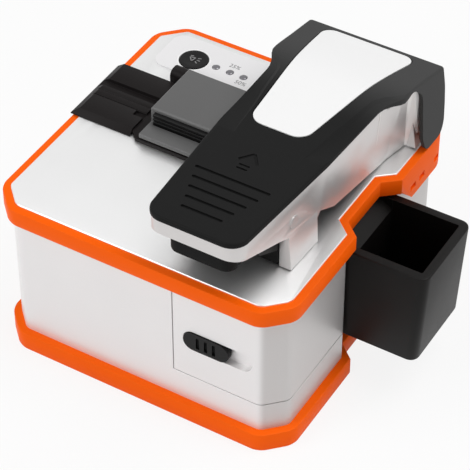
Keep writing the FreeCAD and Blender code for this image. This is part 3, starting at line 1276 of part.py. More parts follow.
def roller_cradle():
    """Hanger under the deck: two bearing walls for the roller and a saddle round the motor."""
    y = roller_range()
    x = (ROLLER_X - ROLLER_RADIUS, ROLLER_X + ROLLER_RADIUS)
    low = roller_z() - ROLLER_RADIUS - 2.0
    motor_y = (motor_start() + 3, motor_start() + MOTOR_LENGTH - 3)
    saddle_x = (ROLLER_X - MOTOR_RADIUS, ROLLER_X + MOTOR_RADIUS + 1.5)
    beam_x = (ROLLER_X + MOTOR_RADIUS, saddle_x[1])
    parts = [block(x, (y[1] + 1.0, y[1] + 2.5), (low, DECK_BOTTOM)),
             block(x, (y[0] - 2.5, y[1] + 2.5), (low, low + 1.0)),
             block(beam_x, (y[0] - 2.5, motor_y[1]), (DECK_BOTTOM - 2.0, DECK_BOTTOM)),
             block((x[1] - 1, beam_x[1]), (y[0] - 2.5, y[0] - 1.0), (DECK_BOTTOM - 2.0, DECK_BOTTOM)),
             block(saddle_x, motor_y, (MOTOR_Z, DECK_BOTTOM))]
    cradle = one(block(x, (y[0] - 2.5, y[0] - 1.0), (low, DECK_BOTTOM)).fuse(parts))
    cradle = cradle.cut(rod("y", MOTOR_RADIUS, motor_y[0] - 1, motor_y[1] + 1, (ROLLER_X, MOTOR_Z)))
    return cradle.cut(rod("y", ROLLER_AXLE_RADIUS + PIN_CLEARANCE, y[0] - 4, y[1] + 4, (ROLLER_X, roller_z())))


def roller_motor():
    start = motor_start()
    body = rod("y", MOTOR_RADIUS, start, start + MOTOR_LENGTH, (ROLLER_X, MOTOR_Z))
    return body.cut(rod("y", ROLLER_AXLE_RADIUS + PIN_CLEARANCE, start - 1, start + 6, (ROLLER_X, MOTOR_Z)))


def motor_pulley():
    y = pulley_range()
    wheel = rod("y", PULLEY_RADIUS, y[0], y[1], (ROLLER_X, MOTOR_Z))
    shaft = rod("y", ROLLER_AXLE_RADIUS, y[0], motor_start() + 5, (ROLLER_X, MOTOR_Z))
    return one(wheel.fuse(shaft))


def drive_belt():
    y = (pulley_range()[0] + 0.3, pulley_range()[1] - 0.3)
    inner = PULLEY_RADIUS + PIN_CLEARANCE
    outer = inner + BELT_THICKNESS

    def loop(r, ends):
        straight = block((ROLLER_X - r, ROLLER_X + r), ends, (MOTOR_Z, roller_z()))
        return one(straight.fuse([rod("y", r, ends[0], ends[1], (ROLLER_X, z)) for z in (MOTOR_Z, roller_z())]))

    return loop(outer, y).cut(loop(inner, (y[0] - 1, y[1] + 1)))


# ---------------------------------------------------------------- scrap bin
def dock_face():
    """Outer face of the body wall at the floor of the notch."""
    return HALF_X - NOTCH_DEPTH - BUMPER_LIP


def dock_magnet_places():
    y = (BIN_FRONT + BIN_REAR) / 2
    return [(y, DOCK_Z[0]), (y, DOCK_Z[1])]


def dock_magnets():
    return Part.makeCompound([rod("x", MAGNET_RADIUS, dock_face() - MAGNET_THICKNESS, dock_face(), p)
                              for p in dock_magnet_places()])


def bin_dock():
    """Spacer on the notch wall that the bin stands against, with two locating pegs."""
    middle = (BIN_FRONT + BIN_REAR) / 2
    x = (dock_face(), BIN_LEFT - SIDE_CLEARANCE)
    z = (DOCK_Z[0] - 4, DOCK_Z[1] + 4)
    plate = block(x, (middle - DOCK_Y / 2, middle + DOCK_Y / 2), z)
    for y, pz in dock_magnet_places():
        plate = plate.cut(rod("x", MAGNET_RADIUS + 0.5, x[0] - 1, x[1] + 1, (y, pz)))
    for y in peg_places():
        plate = plate.fuse(rod("x", PEG_RADIUS, x[0], BIN_LEFT + BIN_WALL - SIDE_CLEARANCE, (y, (z[0] + z[1]) / 2)))
    return one(plate)


def peg_places():
    middle = (BIN_FRONT + BIN_REAR) / 2
    return middle - DOCK_Y / 3, middle + DOCK_Y / 3


def bin_body(wall, bottom):
    """Bin block set in by a wall, with round upright edges and a leaning right-hand side."""
    front = [(BIN_LEFT + wall, BIN_TOP), (BIN_LEFT + wall, bottom), (BIN_RIGHT - BIN_DRAFT - wall, bottom),
             (BIN_RIGHT - wall, BIN_TOP)]
    solid = prism_y(front, BIN_FRONT + wall, BIN_REAR - wall)
    return solid.makeFillet(BIN_CORNER - wall * 0.8, upright_edges(solid, lambda x, y: True))


def scrap_bin():
    shell = bin_body(0.0, BIN_BOTTOM).cut(bin_body(BIN_WALL, BIN_BOTTOM + BIN_WALL))
    for y in peg_places():
        shell = shell.cut(rod("x", PEG_RADIUS + PIN_CLEARANCE, BIN_LEFT - 1, BIN_LEFT + BIN_WALL + 1,
                              (y, (DOCK_Z[0] + DOCK_Z[1]) / 2)))
    inlet = block((BIN_LEFT - 1, BIN_LEFT + BIN_CORNER), (BIN_FRONT + BIN_CORNER, BIN_REAR - BIN_CORNER),
                  (BIN_TOP - BIN_INLET_DROP, HUGE))
    return one(shell.cut(inlet))


# ---------------------------------------------------------------- write every piece
PIECES = [
    body_shell, base_plate, lower_bumper, upper_bumper, rubber_feet, base_screws, corner_posts, deck_plate,
    corner_door, door_latch, latch_bolt, latch_keeper, battery_tray, battery_pack, battery_shelf,
    circuit_board, usb_port, button_board, lamp_button, indicator_leds, control_overlay,
    guide_plate, clamp_stage, lower_lid_pad, lid_cover, lid_core, upper_lid_pad, lid_hinge_pin,
    lower_clamp_blocks, lower_blade_pads, upper_blade_pads, anvil,
    arm_cover, arm_frame, arm_label_plate, arm_pad, arm_core, core_pin, clamp_knob,
    hinge_brackets, hinge_pin, arm_spring, drive_lever, drive_pin, drive_bar,
    blade_carriage, blade_axle, blade_wheel, guide_rods, rod_holders,
    drive_roller, roller_axle, pinch_roller, roller_cradle, roller_motor, motor_pulley, drive_belt,
    dock_magnets, bin_dock, scrap_bin,
]

os.makedirs("parts", exist_ok=True)
for piece in PIECES:
    save(piece.__name__, piece())
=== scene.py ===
import math

import bmesh
import bpy
from mathutils import Matrix, Vector


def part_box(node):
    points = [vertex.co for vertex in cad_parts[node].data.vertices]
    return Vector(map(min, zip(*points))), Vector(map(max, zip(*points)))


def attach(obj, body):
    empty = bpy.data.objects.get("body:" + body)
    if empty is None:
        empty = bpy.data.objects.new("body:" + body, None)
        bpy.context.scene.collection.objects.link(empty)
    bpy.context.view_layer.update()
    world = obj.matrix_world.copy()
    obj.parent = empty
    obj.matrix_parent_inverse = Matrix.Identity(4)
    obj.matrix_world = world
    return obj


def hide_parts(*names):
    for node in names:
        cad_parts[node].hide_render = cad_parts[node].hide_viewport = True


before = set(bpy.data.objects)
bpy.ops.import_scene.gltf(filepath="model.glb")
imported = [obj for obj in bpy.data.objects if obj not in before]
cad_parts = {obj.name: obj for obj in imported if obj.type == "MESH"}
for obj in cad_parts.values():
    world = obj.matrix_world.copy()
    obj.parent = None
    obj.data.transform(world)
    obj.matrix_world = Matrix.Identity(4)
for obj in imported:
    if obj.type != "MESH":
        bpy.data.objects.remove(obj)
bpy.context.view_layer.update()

# ------------------------------------------------------------------ the studio
# A wide pale floor, a large soft lamp high on the left and a weaker one on the
# right, and the camera above the right front corner.
scene = bpy.context.scene
scene.view_settings.view_transform = "Standard"

camera = bpy.data.objects.new("camera", bpy.data.cameras.new("camera"))
scene.collection.objects.link(camera)
scene.camera = camera
camera.data.lens = 171.87
camera.data.sensor_width = 36.0
camera.location = (0.2611, -0.42926, 0.4933)
camera.rotation_euler = (math.radians(90 - 42.878), 0.0, math.radians(30.866))
camera.data.clip_start = 0.01
camera.data.clip_end = 20.0


def soft_lamp(name, place, target, size, power):
    lamp = bpy.data.objects.new(name, bpy.data.lights.new(name, "AREA"))
    scene.collection.objects.link(lamp)
    lamp.location = place
    lamp.rotation_euler = (Vector(target) - Vector(place)).to_track_quat("-Z", "Y").to_euler()
    lamp.data.shape = "SQUARE"
    lamp.data.size = size
    lamp.data.energy = power


soft_lamp("key_lamp", (-0.60, -0.75, 0.75), (0.0, 0.0, 0.03), 0.60, 5.5)
soft_lamp("top_lamp", (0.42, 0.22, 1.00), (0.0, 0.0, 0.05), 0.60, 4.6)
soft_lamp("side_lamp", (0.95, -0.10, 0.45), (0.02, 0.0, 0.04), 0.50, 0.9)


def shown_white(tree, lit_strength):
    """Strength for a white surface that the camera, mirrors and glass see as white."""
    path = tree.nodes.new("ShaderNodeLightPath")
    seen = path.outputs["Is Camera Ray"]
    for kind in ("Is Glossy Ray", "Is Transmission Ray"):
        either = tree.nodes.new("ShaderNodeMath")
        either.operation = "MAXIMUM"
        tree.links.new(seen, either.inputs[0])
        tree.links.new(path.outputs[kind], either.inputs[1])
        seen = either.outputs[0]
    spread = tree.nodes.new("ShaderNodeMapRange")
    spread.inputs["To Min"].default_value = lit_strength
    spread.inputs["To Max"].default_value = 1.0
    tree.links.new(seen, spread.inputs["Value"])
    return spread.outputs["Result"]


world = bpy.data.worlds.new("studio")
scene.world = world
world.use_nodes = True
backdrop = world.node_tree.nodes["Background"]
backdrop.inputs["Color"].default_value = (1.0, 1.0, 1.0, 1.0)
world.node_tree.links.new(shown_white(world.node_tree, 0.42), backdrop.inputs["Strength"])

floor_shape = bmesh.new()
bmesh.ops.create_grid(floor_shape, x_segments=1, y_segments=1, size=4.0)
floor = bpy.data.objects.new("floor", bpy.data.meshes.new("floor"))
floor_shape.to_mesh(floor.data)
floor_shape.free()
scene.collection.objects.link(floor)
floor_paint = bpy.data.materials.new("floor_paint")
floor_paint.use_nodes = True
tree = floor_paint.node_tree
matt = tree.nodes["Principled BSDF"]
matt.inputs["Base Color"].default_value = (0.86, 0.86, 0.86, 1.0)
matt.inputs["Roughness"].default_value = 0.8
glow = tree.nodes.new("ShaderNodeEmission")
blend = tree.nodes.new("ShaderNodeMixShader")
tree.links.new(shown_white(tree, 0.0), blend.inputs[0])
share = tree.nodes.new("ShaderNodeMath")
share.operation = "MULTIPLY"
share.inputs[1].default_value = 0.86
tree.links.new(blend.inputs[0].links[0].from_socket, share.inputs[0])
tree.links.new(share.outputs[0], blend.inputs[0])
tree.links.new(matt.outputs[0], blend.inputs[1])
tree.links.new(glow.outputs[0], blend.inputs[2])
tree.links.new(blend.outputs[0], tree.nodes["Material Output"].inputs["Surface"])
floor.data.materials.append(floor_paint)

# ------------------------------------------------------------------ lower bumper
# A soft orange ring moulded in one piece, with cut corners and a notch for the bin.
# It is pushed over the foot of the casing and has rounded edges.
MM = 0.001
BODY_HALF = 50 * MM
CORNER_CUT = 7.8 * MM
REAR_ROUND = 6 * MM
LIP = 2.5 * MM
NOTCH_MIDDLE = 5.8 * MM
NOTCH_MOUTH_HALF = 14.05 * MM
NOTCH_FLOOR_HALF = 9.75 * MM
NOTCH_DEPTH = 5 * MM
BUMPER_TOP = 6.6 * MM
OUTER_TURN = 2.5 * MM
INNER_TURN = 1.4 * MM
REAR_TURN = 1.6 * MM
BUMPER_EDGE = 0.45 * MM
CORNER_ZONE = 35 * MM


def tint(code):
    """Linear colour for a hex code."""
    shares = [int(code[i:i + 2], 16) / 255 for i in (1, 3, 5)]
    return [s / 12.92 if s <= 0.04045 else ((s + 0.055) / 1.055) ** 2.4 for s in shares] + [1.0]


def new_group(name, inputs, outputs):
    group = bpy.data.node_groups.new(name, "ShaderNodeTree")
    for label, kind, start in inputs:
        socket = group.interface.new_socket(label, in_out="INPUT", socket_type=kind)
        socket.default_value = start
    for label, kind in outputs:
        group.interface.new_socket(label, in_out="OUTPUT", socket_type=kind)
    return group, group.nodes.new("NodeGroupInput"), group.nodes.new("NodeGroupOutput")


def sum_node(tree, operation, *values):
    node = tree.nodes.new("ShaderNodeMath")
    node.operation = operation
    for socket, value in zip(node.inputs, values):
        if isinstance(value, (int, float)):
            socket.default_value = value
        else:
            tree.links.new(value, socket)
    return node.outputs[0]


def grain_group():
    """Even surface grain with faint clouds in tone and gloss."""
    group, given, result = new_group(
        "surface_grain",
        [("Colour", "NodeSocketColor", (0.5, 0.5, 0.5, 1.0)), ("Tone swing", "NodeSocketFloat", 0.1),
         ("Roughness", "NodeSocketFloat", 0.5), ("Gloss swing", "NodeSocketFloat", 0.1),
         ("Grain", "NodeSocketFloat", 2500.0), ("Stretch", "NodeSocketVector", (1.0, 1.0, 1.0))],
        [("Colour", "NodeSocketColor"), ("Roughness", "NodeSocketFloat"), ("Height", "NodeSocketFloat")])
    place = group.nodes.new("ShaderNodeTexCoord")
    stretched = group.nodes.new("ShaderNodeVectorMath")
    stretched.operation = "MULTIPLY"
    group.links.new(place.outputs["Object"], stretched.inputs[0])
    group.links.new(given.outputs["Stretch"], stretched.inputs[1])
    fine = group.nodes.new("ShaderNodeTexNoise")
    fine.inputs["Detail"].default_value = 3.0
    group.links.new(stretched.outputs[0], fine.inputs["Vector"])
    group.links.new(given.outputs["Grain"], fine.inputs["Scale"])
    clouds = group.nodes.new("ShaderNodeTexNoise")
    clouds.inputs["Scale"].default_value = 55.0
    clouds.inputs["Detail"].default_value = 5.0
    group.links.new(place.outputs["Object"], clouds.inputs["Vector"])
    cloud = sum_node(group, "SUBTRACT", clouds.outputs["Fac"], 0.5)
    speck = sum_node(group, "SUBTRACT", fine.outputs["Fac"], 0.5)
    both = sum_node(group, "ADD", cloud, speck)
    tone = sum_node(group, "MULTIPLY_ADD", both, given.outputs["Tone swing"], 1.0)
    shade = group.nodes.new("ShaderNodeHueSaturation")
    group.links.new(given.outputs["Colour"], shade.inputs["Color"])
    group.links.new(tone, shade.inputs["Value"])
    group.links.new(shade.outputs[0], result.inputs["Colour"])
    gloss = sum_node(group, "MULTIPLY_ADD", both, given.outputs["Gloss swing"], given.outputs["Roughness"])
    group.links.new(gloss, result.inputs["Roughness"])
    group.links.new(fine.outputs["Fac"], result.inputs["Height"])
    return group


def wear_and_highlight_edge_group():
    """Mask that is 1 on edges: rubbed wear, and a painted highlight where light would catch them."""
    group, given, result = new_group(
        "wear_and_highlight_edges", [("Width", "NodeSocketFloat", 0.0006), ("Amount", "NodeSocketFloat", 0.5)],
        [("Mask", "NodeSocketFloat")])
    turned = group.nodes.new("ShaderNodeBevel")
    turned.samples = 4
    group.links.new(given.outputs["Width"], turned.inputs["Radius"])
    true = group.nodes.new("ShaderNodeNewGeometry")
    match = group.nodes.new("ShaderNodeVectorMath")
    match.operation = "DOT_PRODUCT"
    group.links.new(turned.outputs[0], match.inputs[0])
    group.links.new(true.outputs["Normal"], match.inputs[1])
    off = sum_node(group, "SUBTRACT", 1.0, match.outputs["Value"])
    place = group.nodes.new("ShaderNodeTexCoord")
    patchy = group.nodes.new("ShaderNodeTexNoise")
    patchy.inputs["Scale"].default_value = 320.0
    group.links.new(place.outputs["Object"], patchy.inputs["Vector"])
    broken = sum_node(group, "MULTIPLY", off, patchy.outputs["Fac"])
    strong = sum_node(group, "MULTIPLY", broken, given.outputs["Amount"])
    mask = group.nodes.new("ShaderNodeClamp")
    group.links.new(strong, mask.inputs[0])
    group.links.new(mask.outputs[0], result.inputs["Mask"])
    return group


GRAIN = grain_group()
EDGES = wear_and_highlight_edge_group()


def finish(name, colour, roughness, grain=2500.0, depth=0.1, tone=0.08, gloss=0.1,
           stretch=(1.0, 1.0, 1.0), edge=None, edge_amount=4.0, **fixed):
    """Material with grain, clouded gloss and, if an edge colour is given, lighter edges from wear and a painted
    highlight.
    """
    material = bpy.data.materials.new(name)
    material.use_nodes = True
    tree = material.node_tree
    shader = tree.nodes["Principled BSDF"]
    surface = tree.nodes.new("ShaderNodeGroup")
    surface.node_tree = GRAIN
    surface.inputs["Colour"].default_value = tint(colour)
    surface.inputs["Tone swing"].default_value = tone
    surface.inputs["Roughness"].default_value = roughness
    surface.inputs["Gloss swing"].default_value = gloss
    surface.inputs["Grain"].default_value = grain
    surface.inputs["Stretch"].default_value = stretch
    shown = surface.outputs["Colour"]
    # Lighter edges: part rubbed wear, part a painted highlight along the edges.
    if edge:
        edge_wear_and_highlight = tree.nodes.new("ShaderNodeGroup")
        edge_wear_and_highlight.node_tree = EDGES
        edge_wear_and_highlight.inputs["Amount"].default_value = edge_amount
        wear_and_highlight_mix = tree.nodes.new("ShaderNodeMix")
        wear_and_highlight_mix.data_type = "RGBA"
        wear_and_highlight_mix.inputs[7].default_value = tint(edge)
        tree.links.new(edge_wear_and_highlight.outputs["Mask"], wear_and_highlight_mix.inputs[0])
        tree.links.new(shown, wear_and_highlight_mix.inputs[6])
        shown = wear_and_highlight_mix.outputs[2]
    tree.links.new(shown, shader.inputs["Base Color"])
    tree.links.new(surface.outputs["Roughness"], shader.inputs["Roughness"])
    bump = tree.nodes.new("ShaderNodeBump")
    bump.inputs["Strength"].default_value = depth
    bump.inputs["Distance"].default_value = 0.0002
    tree.links.new(surface.outputs["Height"], bump.inputs["Height"])
    tree.links.new(bump.outputs[0], shader.inputs["Normal"])
    for label, value in fixed.items():
        shader.inputs[label.replace("_", " ")].default_value = value
    return material


def body_plan(distance):
    """Plan with the bin's notch and a rounder rear right corner, every side set in by a distance."""
    cut, half, floor_x = CORNER_CUT, BODY_HALF, BODY_HALF - NOTCH_DEPTH
    turn = half - REAR_ROUND
    corners = [
        (cut - half, -half), (half - cut, -half), (half, cut - half),
        (half, NOTCH_MIDDLE - NOTCH_MOUTH_HALF), (floor_x, NOTCH_MIDDLE - NOTCH_FLOOR_HALF),
        (floor_x, NOTCH_MIDDLE + NOTCH_FLOOR_HALF), (half, NOTCH_MIDDLE + NOTCH_MOUTH_HALF),
        (half, turn), (turn + REAR_ROUND * 0.707, turn + REAR_ROUND * 0.707), (turn, half),
        (cut - half, half), (-half, half - cut), (-half, cut - half)]
    moved = []
    for i, here in enumerate(corners):
        after = Vector(corners[(i + 1) % len(corners)]) - Vector(here)
        before = Vector(here) - Vector(corners[i - 1])
        a, b = (Vector((-side.y, side.x)).normalized() for side in (before, after))
        moved.append(tuple(Vector(here) + (a + b) * (distance / (1 + a.dot(b)))))
    return moved


AXES = {"x": Vector((1, 0, 0)), "y": Vector((0, 1, 0)), "z": Vector((0, 0, 1))}


def pushed(points, axis, start, end):
    """Solid made by pushing a flat outline along an axis."""
    order = {"x": lambda a, b: (start, a, b), "y": lambda a, b: (a, start, b), "z": lambda a, b: (a, b, start)}
    bm = bmesh.new()
    face = bm.faces.new([bm.verts.new(order[axis](a, b)) for a, b in points])
    far = bmesh.ops.extrude_face_region(bm, geom=[face])["geom"]
    far = [v for v in far if isinstance(v, bmesh.types.BMVert)]
    bmesh.ops.translate(bm, verts=far, vec=AXES[axis] * (end - start))
    bmesh.ops.recalc_face_normals(bm, faces=bm.faces)
    return bm


def round_off(bm, width, wanted, segments=4):
    """Bevel the edges for which wanted(direction, middle) is true."""
    edges = []
    for edge in bm.edges:
        a, b = (v.co for v in edge.verts)
        if wanted((b - a).normalized(), (a + b) / 2):
            edges.append(edge)
    bmesh.ops.bevel(bm, geom=edges, offset=width, offset_type="OFFSET", segments=segments, profile=0.5,
                    affect="EDGES", material=-1)
    return bm


def upright(direction, middle):
    return abs(direction.z) > 0.99


def rounded_body(inset, low, high, turn):
    """Block on the body's plan; its outer corners are rounded much more than the notch."""
    def at_corner(direction, middle):
        at_end = abs(middle.y) > CORNER_ZONE and min(middle.x, middle.y) < CORNER_ZONE
        return upright(direction, middle) and at_end

    def at_rear_right(direction, middle):
        return upright(direction, middle) and min(middle.x, middle.y) > CORNER_ZONE

    block = round_off(pushed(body_plan(inset), "z", low, high), turn, at_corner, 6)
    return round_off(block, min(turn, REAR_TURN), at_rear_right, 4)


def carve(bm, tool, operation="DIFFERENCE"):
    """Cut a solid with another one, or join or intersect the two."""
    pair = []
    for shape in (bm, tool):
        piece = bpy.data.objects.new("carving", bpy.data.meshes.new("carving"))
        shape.to_mesh(piece.data)
        shape.free()
        scene.collection.objects.link(piece)
        pair.append(piece)
    cut = pair[0].modifiers.new("cut", "BOOLEAN")
    cut.operation = operation
    cut.object = pair[1]
    cut.solver = "EXACT"
    bpy.context.view_layer.update()
    result = bmesh.new()
    result.from_object(pair[0], bpy.context.evaluated_depsgraph_get())
    for piece in pair:
        bpy.data.meshes.remove(piece.data)
    bmesh.ops.remove_doubles(result, verts=result.verts, dist=0.000004)
    bmesh.ops.dissolve_limit(result, angle_limit=math.radians(0.6), verts=result.verts, edges=result.edges)
    return result


def place(bm, name, material, body, slot, *nodes, soft=None, segments=2):
    """Turn a shape into a piece that rides on a body and stands for CAD nodes."""
    piece = bpy.data.objects.new(name, bpy.data.meshes.new(name))
    bm.to_mesh(piece.data)
    bm.free()
    scene.collection.objects.link(piece)
    piece.data.materials.append(material)
    piece.data.shade_smooth()
    if soft:
        edge = piece.modifiers.new("soft edges", "BEVEL")
        edge.width = soft
        edge.segments = segments
        edge.limit_method = "ANGLE"
        edge.angle_limit = math.radians(32)
        edge.harden_normals = True
    else:
        piece.data.set_sharp_from_angle(angle=math.radians(32))
    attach(piece, body)
    if nodes:
        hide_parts(*nodes)
    return piece


orange = finish("orange_moulding", "#FF6308", 0.45, grain=1900.0, depth=0.10, tone=0.05, gloss=0.12,
                edge="#FF7A30", edge_amount=2.5, Specular_IOR_Level=0.06)


def bumper(low, high):
    """Moulded ring between two heights, its upright edges rounded more than the rest."""
    ring = rounded_body(0, low, high, OUTER_TURN)
    ring = round_off(ring, BUMPER_EDGE, lambda direction, middle: abs(direction.z) < 0.01, 2)
    return carve(ring, rounded_body(LIP, low - MM, high + MM, INNER_TURN))


place(bumper(0, BUMPER_TOP), "lower_bumper_moulding", orange, "body", "orange_bumper", "lower_bumper")

# ------------------------------------------------------------------ base, feet and screws
# The base is a black moulded plate with bosses for the circuit board. Three screws
# hold it to the corner posts, and it stands on four turned rubber feet.
black_moulding = finish("black_moulding", "#101010", 0.55, grain=3000.0, depth=0.16, tone=0.1,
                        Specular_IOR_Level=0.12)
black_rubber = finish("black_rubber", "#111111", 0.75, grain=1500.0, depth=0.3, tone=0.15,
                      Specular_IOR_Level=0.12)
steel = finish("ground_steel", "#B9BBBE", 0.32, grain=1800.0, depth=0.08, tone=0.06, gloss=0.12, Metallic=1.0)


def dress(material, *names):
    """Give carried-over nodes a material."""
    for name in names:
        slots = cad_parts[name].data.materials
        slots.clear()
        slots.append(material)


dress(black_moulding, "base_plate", "corner_posts")
dress(black_rubber, "rubber_feet")
dress(steel, "base_screws")

# ------------------------------------------------------------------ casing walls
# Thin metal walls, blasted to an even silver grain, that run round all eight sides
# and step in at the bin. The corner where the battery slides out is left open.
WALL = 2 * MM
CASING_LOW = 3 * MM
CASING_HIGH = 55.3 * MM
DOOR_LEFT = 11.8 * MM
DOOR_BOTTOM = 16.8 * MM
DOOR_TOP = 51 * MM
DOOR_GAP = 0.36 * MM
DOOR_REAR = body_plan(LIP)[3][1]
SOCKET_GAP = 0.3 * MM
PAINTED_SHADE_START, PAINTED_SHADE_END = 40.2 * MM, 42.5 * MM
FAR = 80 * MM

silver = finish("blasted_silver", "#EBE9E9", 0.42, grain=4200.0, depth=0.22, tone=0.05, gloss=0.1, Metallic=0.4)


def painted_shading(material, axis, start, end, colour):
    """Painted shading: a material's colour changes softly between two places along an axis, standing in for light
    that falls unevenly.
    """
    tree = material.node_tree
    spot = tree.nodes.new("ShaderNodeTexCoord")
    split = tree.nodes.new("ShaderNodeSeparateXYZ")
    tree.links.new(spot.outputs["Object"], split.inputs[0])
    reach = tree.nodes.new("ShaderNodeMapRange")
    reach.interpolation_type = "SMOOTHSTEP"
    reach.inputs["From Min"].default_value = start
    reach.inputs["From Max"].default_value = end
    tree.links.new(split.outputs[axis], reach.inputs["Value"])
    changed = tree.nodes.new("ShaderNodeMix")
    changed.data_type = "RGBA"
    changed.inputs[7].default_value = tint(colour)
    shader = tree.nodes["Principled BSDF"]
    tree.links.new(shader.inputs["Base Color"].links[0].from_socket, changed.inputs[6])
    tree.links.new(reach.outputs["Result"], changed.inputs[0])
    tree.links.new(changed.outputs[2], shader.inputs["Base Color"])


# Painted shade: the silver turns darker towards the casing's right side, where less light falls.
painted_shading(silver, "X", PAINTED_SHADE_START, PAINTED_SHADE_END, "#CBC8C7")


def slab(x, y, z):
    """Rectangular block between two values on each axis."""
    bm = bmesh.new()
    bmesh.ops.create_cube(bm, size=1.0)
    for v in bm.verts:
        v.co = (x[v.co.x > 0], y[v.co.y > 0], z[v.co.z > 0])
    return bm


def wall_ring():
    outer = rounded_body(LIP, CASING_LOW, CASING_HIGH, INNER_TURN)
    return carve(outer, pushed(body_plan(LIP + WALL), "z", 0, 2 * CASING_HIGH))


def door_space(gap):
    return slab((DOOR_LEFT + gap, FAR), (-FAR, DOOR_REAR - gap), (DOOR_BOTTOM + gap, DOOR_TOP - gap))


socket_low, socket_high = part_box("usb_port")
casing = carve(wall_ring(), door_space(0))
casing = carve(casing, slab((socket_low.x - SOCKET_GAP, socket_high.x + SOCKET_GAP), (BODY_HALF - 10 * MM, FAR),
                            (socket_low.z - SOCKET_GAP, socket_high.z + SOCKET_GAP)))
place(casing, "casing_walls", silver, "body", "silver_casing", "body_shell", soft=0.12 * MM)

# ------------------------------------------------------------------ corner door and its latch
# The door is cut from the same walls, with a milled oblong pocket. A black moulded
# knob with finger ribs slides in the pocket and moves the bolt behind the door.
LATCH_MIDDLE = 32 * MM
POCKET_LEFT = 15.5 * MM
POCKET_RIGHT = 38.5 * MM
POCKET_HALF = 3.5 * MM
FRONT_FACE = -47.5 * MM
POCKET_DEPTH = 2.2 * MM
BACKING_MARGIN = 2 * MM
BACKING_HALF = 5.5 * MM
BACKING_REAR = FRONT_FACE + 3.6 * MM
KNOB_LENGTH = 15.3 * MM
KNOB_GAP = 0.2 * MM
KNOB_RISE = 0.5 * MM
KNOB_REAR = FRONT_FACE + 1.4 * MM
GROOVE_PITCH = 2.7 * MM
GROOVE_HALF_WIDTH = 0.55 * MM
GROOVE_HALF_HEIGHT = 2.1 * MM
GROOVE_FLOOR = FRONT_FACE + 0.3 * MM
STEM_LEFT, STEM_RIGHT = 18.7 * MM, 23.7 * MM
STEM_HALF = 1.5 * MM
STEM_REAR = FRONT_FACE + 3.8 * MM
LATCH_TRAVEL = 6.6 * MM


def oblong(left, right, half, front, rear):
    """Flat bar with half-round ends, pushed from front to rear."""
    bm = bmesh.new()
    bmesh.ops.create_circle(bm, cap_ends=True, radius=half, segments=48)
    for v in bm.verts:
        v.co = (v.co.x + (right - half if v.co.x > 0 else left + half), front, LATCH_MIDDLE + v.co.y)
    far = bmesh.ops.extrude_face_region(bm, geom=bm.faces[:])["geom"]
    bmesh.ops.translate(bm, verts=[v for v in far if isinstance(v, bmesh.types.BMVert)], vec=(0, rear - front, 0))
    bmesh.ops.recalc_face_normals(bm, faces=bm.faces)
    return bm


door = carve(wall_ring(), door_space(DOOR_GAP), "INTERSECT")
backing = slab((POCKET_LEFT - BACKING_MARGIN, POCKET_RIGHT + BACKING_MARGIN), (FRONT_FACE + MM, BACKING_REAR),
               (LATCH_MIDDLE - BACKING_HALF, LATCH_MIDDLE + BACKING_HALF))
door = carve(door, backing, "UNION")
door = carve(door, oblong(POCKET_LEFT, POCKET_RIGHT, POCKET_HALF, FRONT_FACE - MM, FRONT_FACE + POCKET_DEPTH))
door = carve(door, slab((STEM_LEFT - KNOB_GAP, STEM_RIGHT + LATCH_TRAVEL + KNOB_GAP), (FRONT_FACE, 0),
                        (LATCH_MIDDLE - STEM_HALF - KNOB_GAP, LATCH_MIDDLE + STEM_HALF + KNOB_GAP)))
place(door, "corner_door_panel", silver, "battery_module", "silver_casing", "corner_door", soft=0.15 * MM)

knob_left = POCKET_LEFT + KNOB_GAP
knob = oblong(knob_left, knob_left + KNOB_LENGTH, POCKET_HALF - KNOB_GAP, FRONT_FACE - KNOB_RISE, KNOB_REAR)
for i in (-1, 0, 1):
    groove_x = knob_left + KNOB_LENGTH / 2 + i * GROOVE_PITCH
    knob = carve(knob, slab((groove_x - GROOVE_HALF_WIDTH, groove_x + GROOVE_HALF_WIDTH), (-FAR, GROOVE_FLOOR),
                            (LATCH_MIDDLE - GROOVE_HALF_HEIGHT, LATCH_MIDDLE + GROOVE_HALF_HEIGHT)))
knob = carve(knob, slab((STEM_LEFT, STEM_RIGHT), (FRONT_FACE + MM, STEM_REAR),
                        (LATCH_MIDDLE - STEM_HALF, LATCH_MIDDLE + STEM_HALF)), "UNION")
glossy_black = finish("black_gloss", "#0E0E0E", 0.36, grain=2600.0, depth=0.08, tone=0.08, edge="#3A3A3A",
                      edge_amount=2.0, Specular_IOR_Level=0.16)
place(knob, "latch_knob", glossy_black, "latch", "black_plastic", "door_latch", soft=0.22 * MM, segments=3)
dress(black_moulding, "latch_bolt", "latch_keeper")

# ------------------------------------------------------------------ battery and electronics
# The shrink-wrapped cells stand on a moulded tray behind the door. The main board
# lies on the base with its charging socket at the rear, and a small one is under the deck.
cell_wrap = finish("cell_wrap", "#2B4A7A", 0.3, grain=500.0, depth=0.12, tone=0.12)
board_lacquer = finish("board_lacquer", "#1E5C39", 0.4, grain=900.0, depth=0.15, tone=0.2)
dress(cell_wrap, "battery_pack")
dress(black_moulding, "battery_tray", "battery_shelf", "button_board", "rod_holders", "roller_cradle", "bin_dock")
dress(board_lacquer, "circuit_board")
dress(steel, "usb_port")

# ------------------------------------------------------------------ upper bumper
# The same soft orange moulding as below, but its rear right corner reaches further
# down to guard the casing there, with three slots pressed into it.
UPPER_LOW = 51 * MM
UPPER_HIGH = 56.8 * MM
GUARD_LOW = 44.5 * MM
GUARD_FRONT = 20.6 * MM
SLOT_MIDDLE = 48.5 * MM
SLOT_SPOTS = (27.5 * MM, 33.2 * MM, 42.8 * MM)
SLOT_HALF_LENGTH = 1.7 * MM
SLOT_HALF_HEIGHT = 1 * MM
SLOT_DEPTH = 1.2 * MM

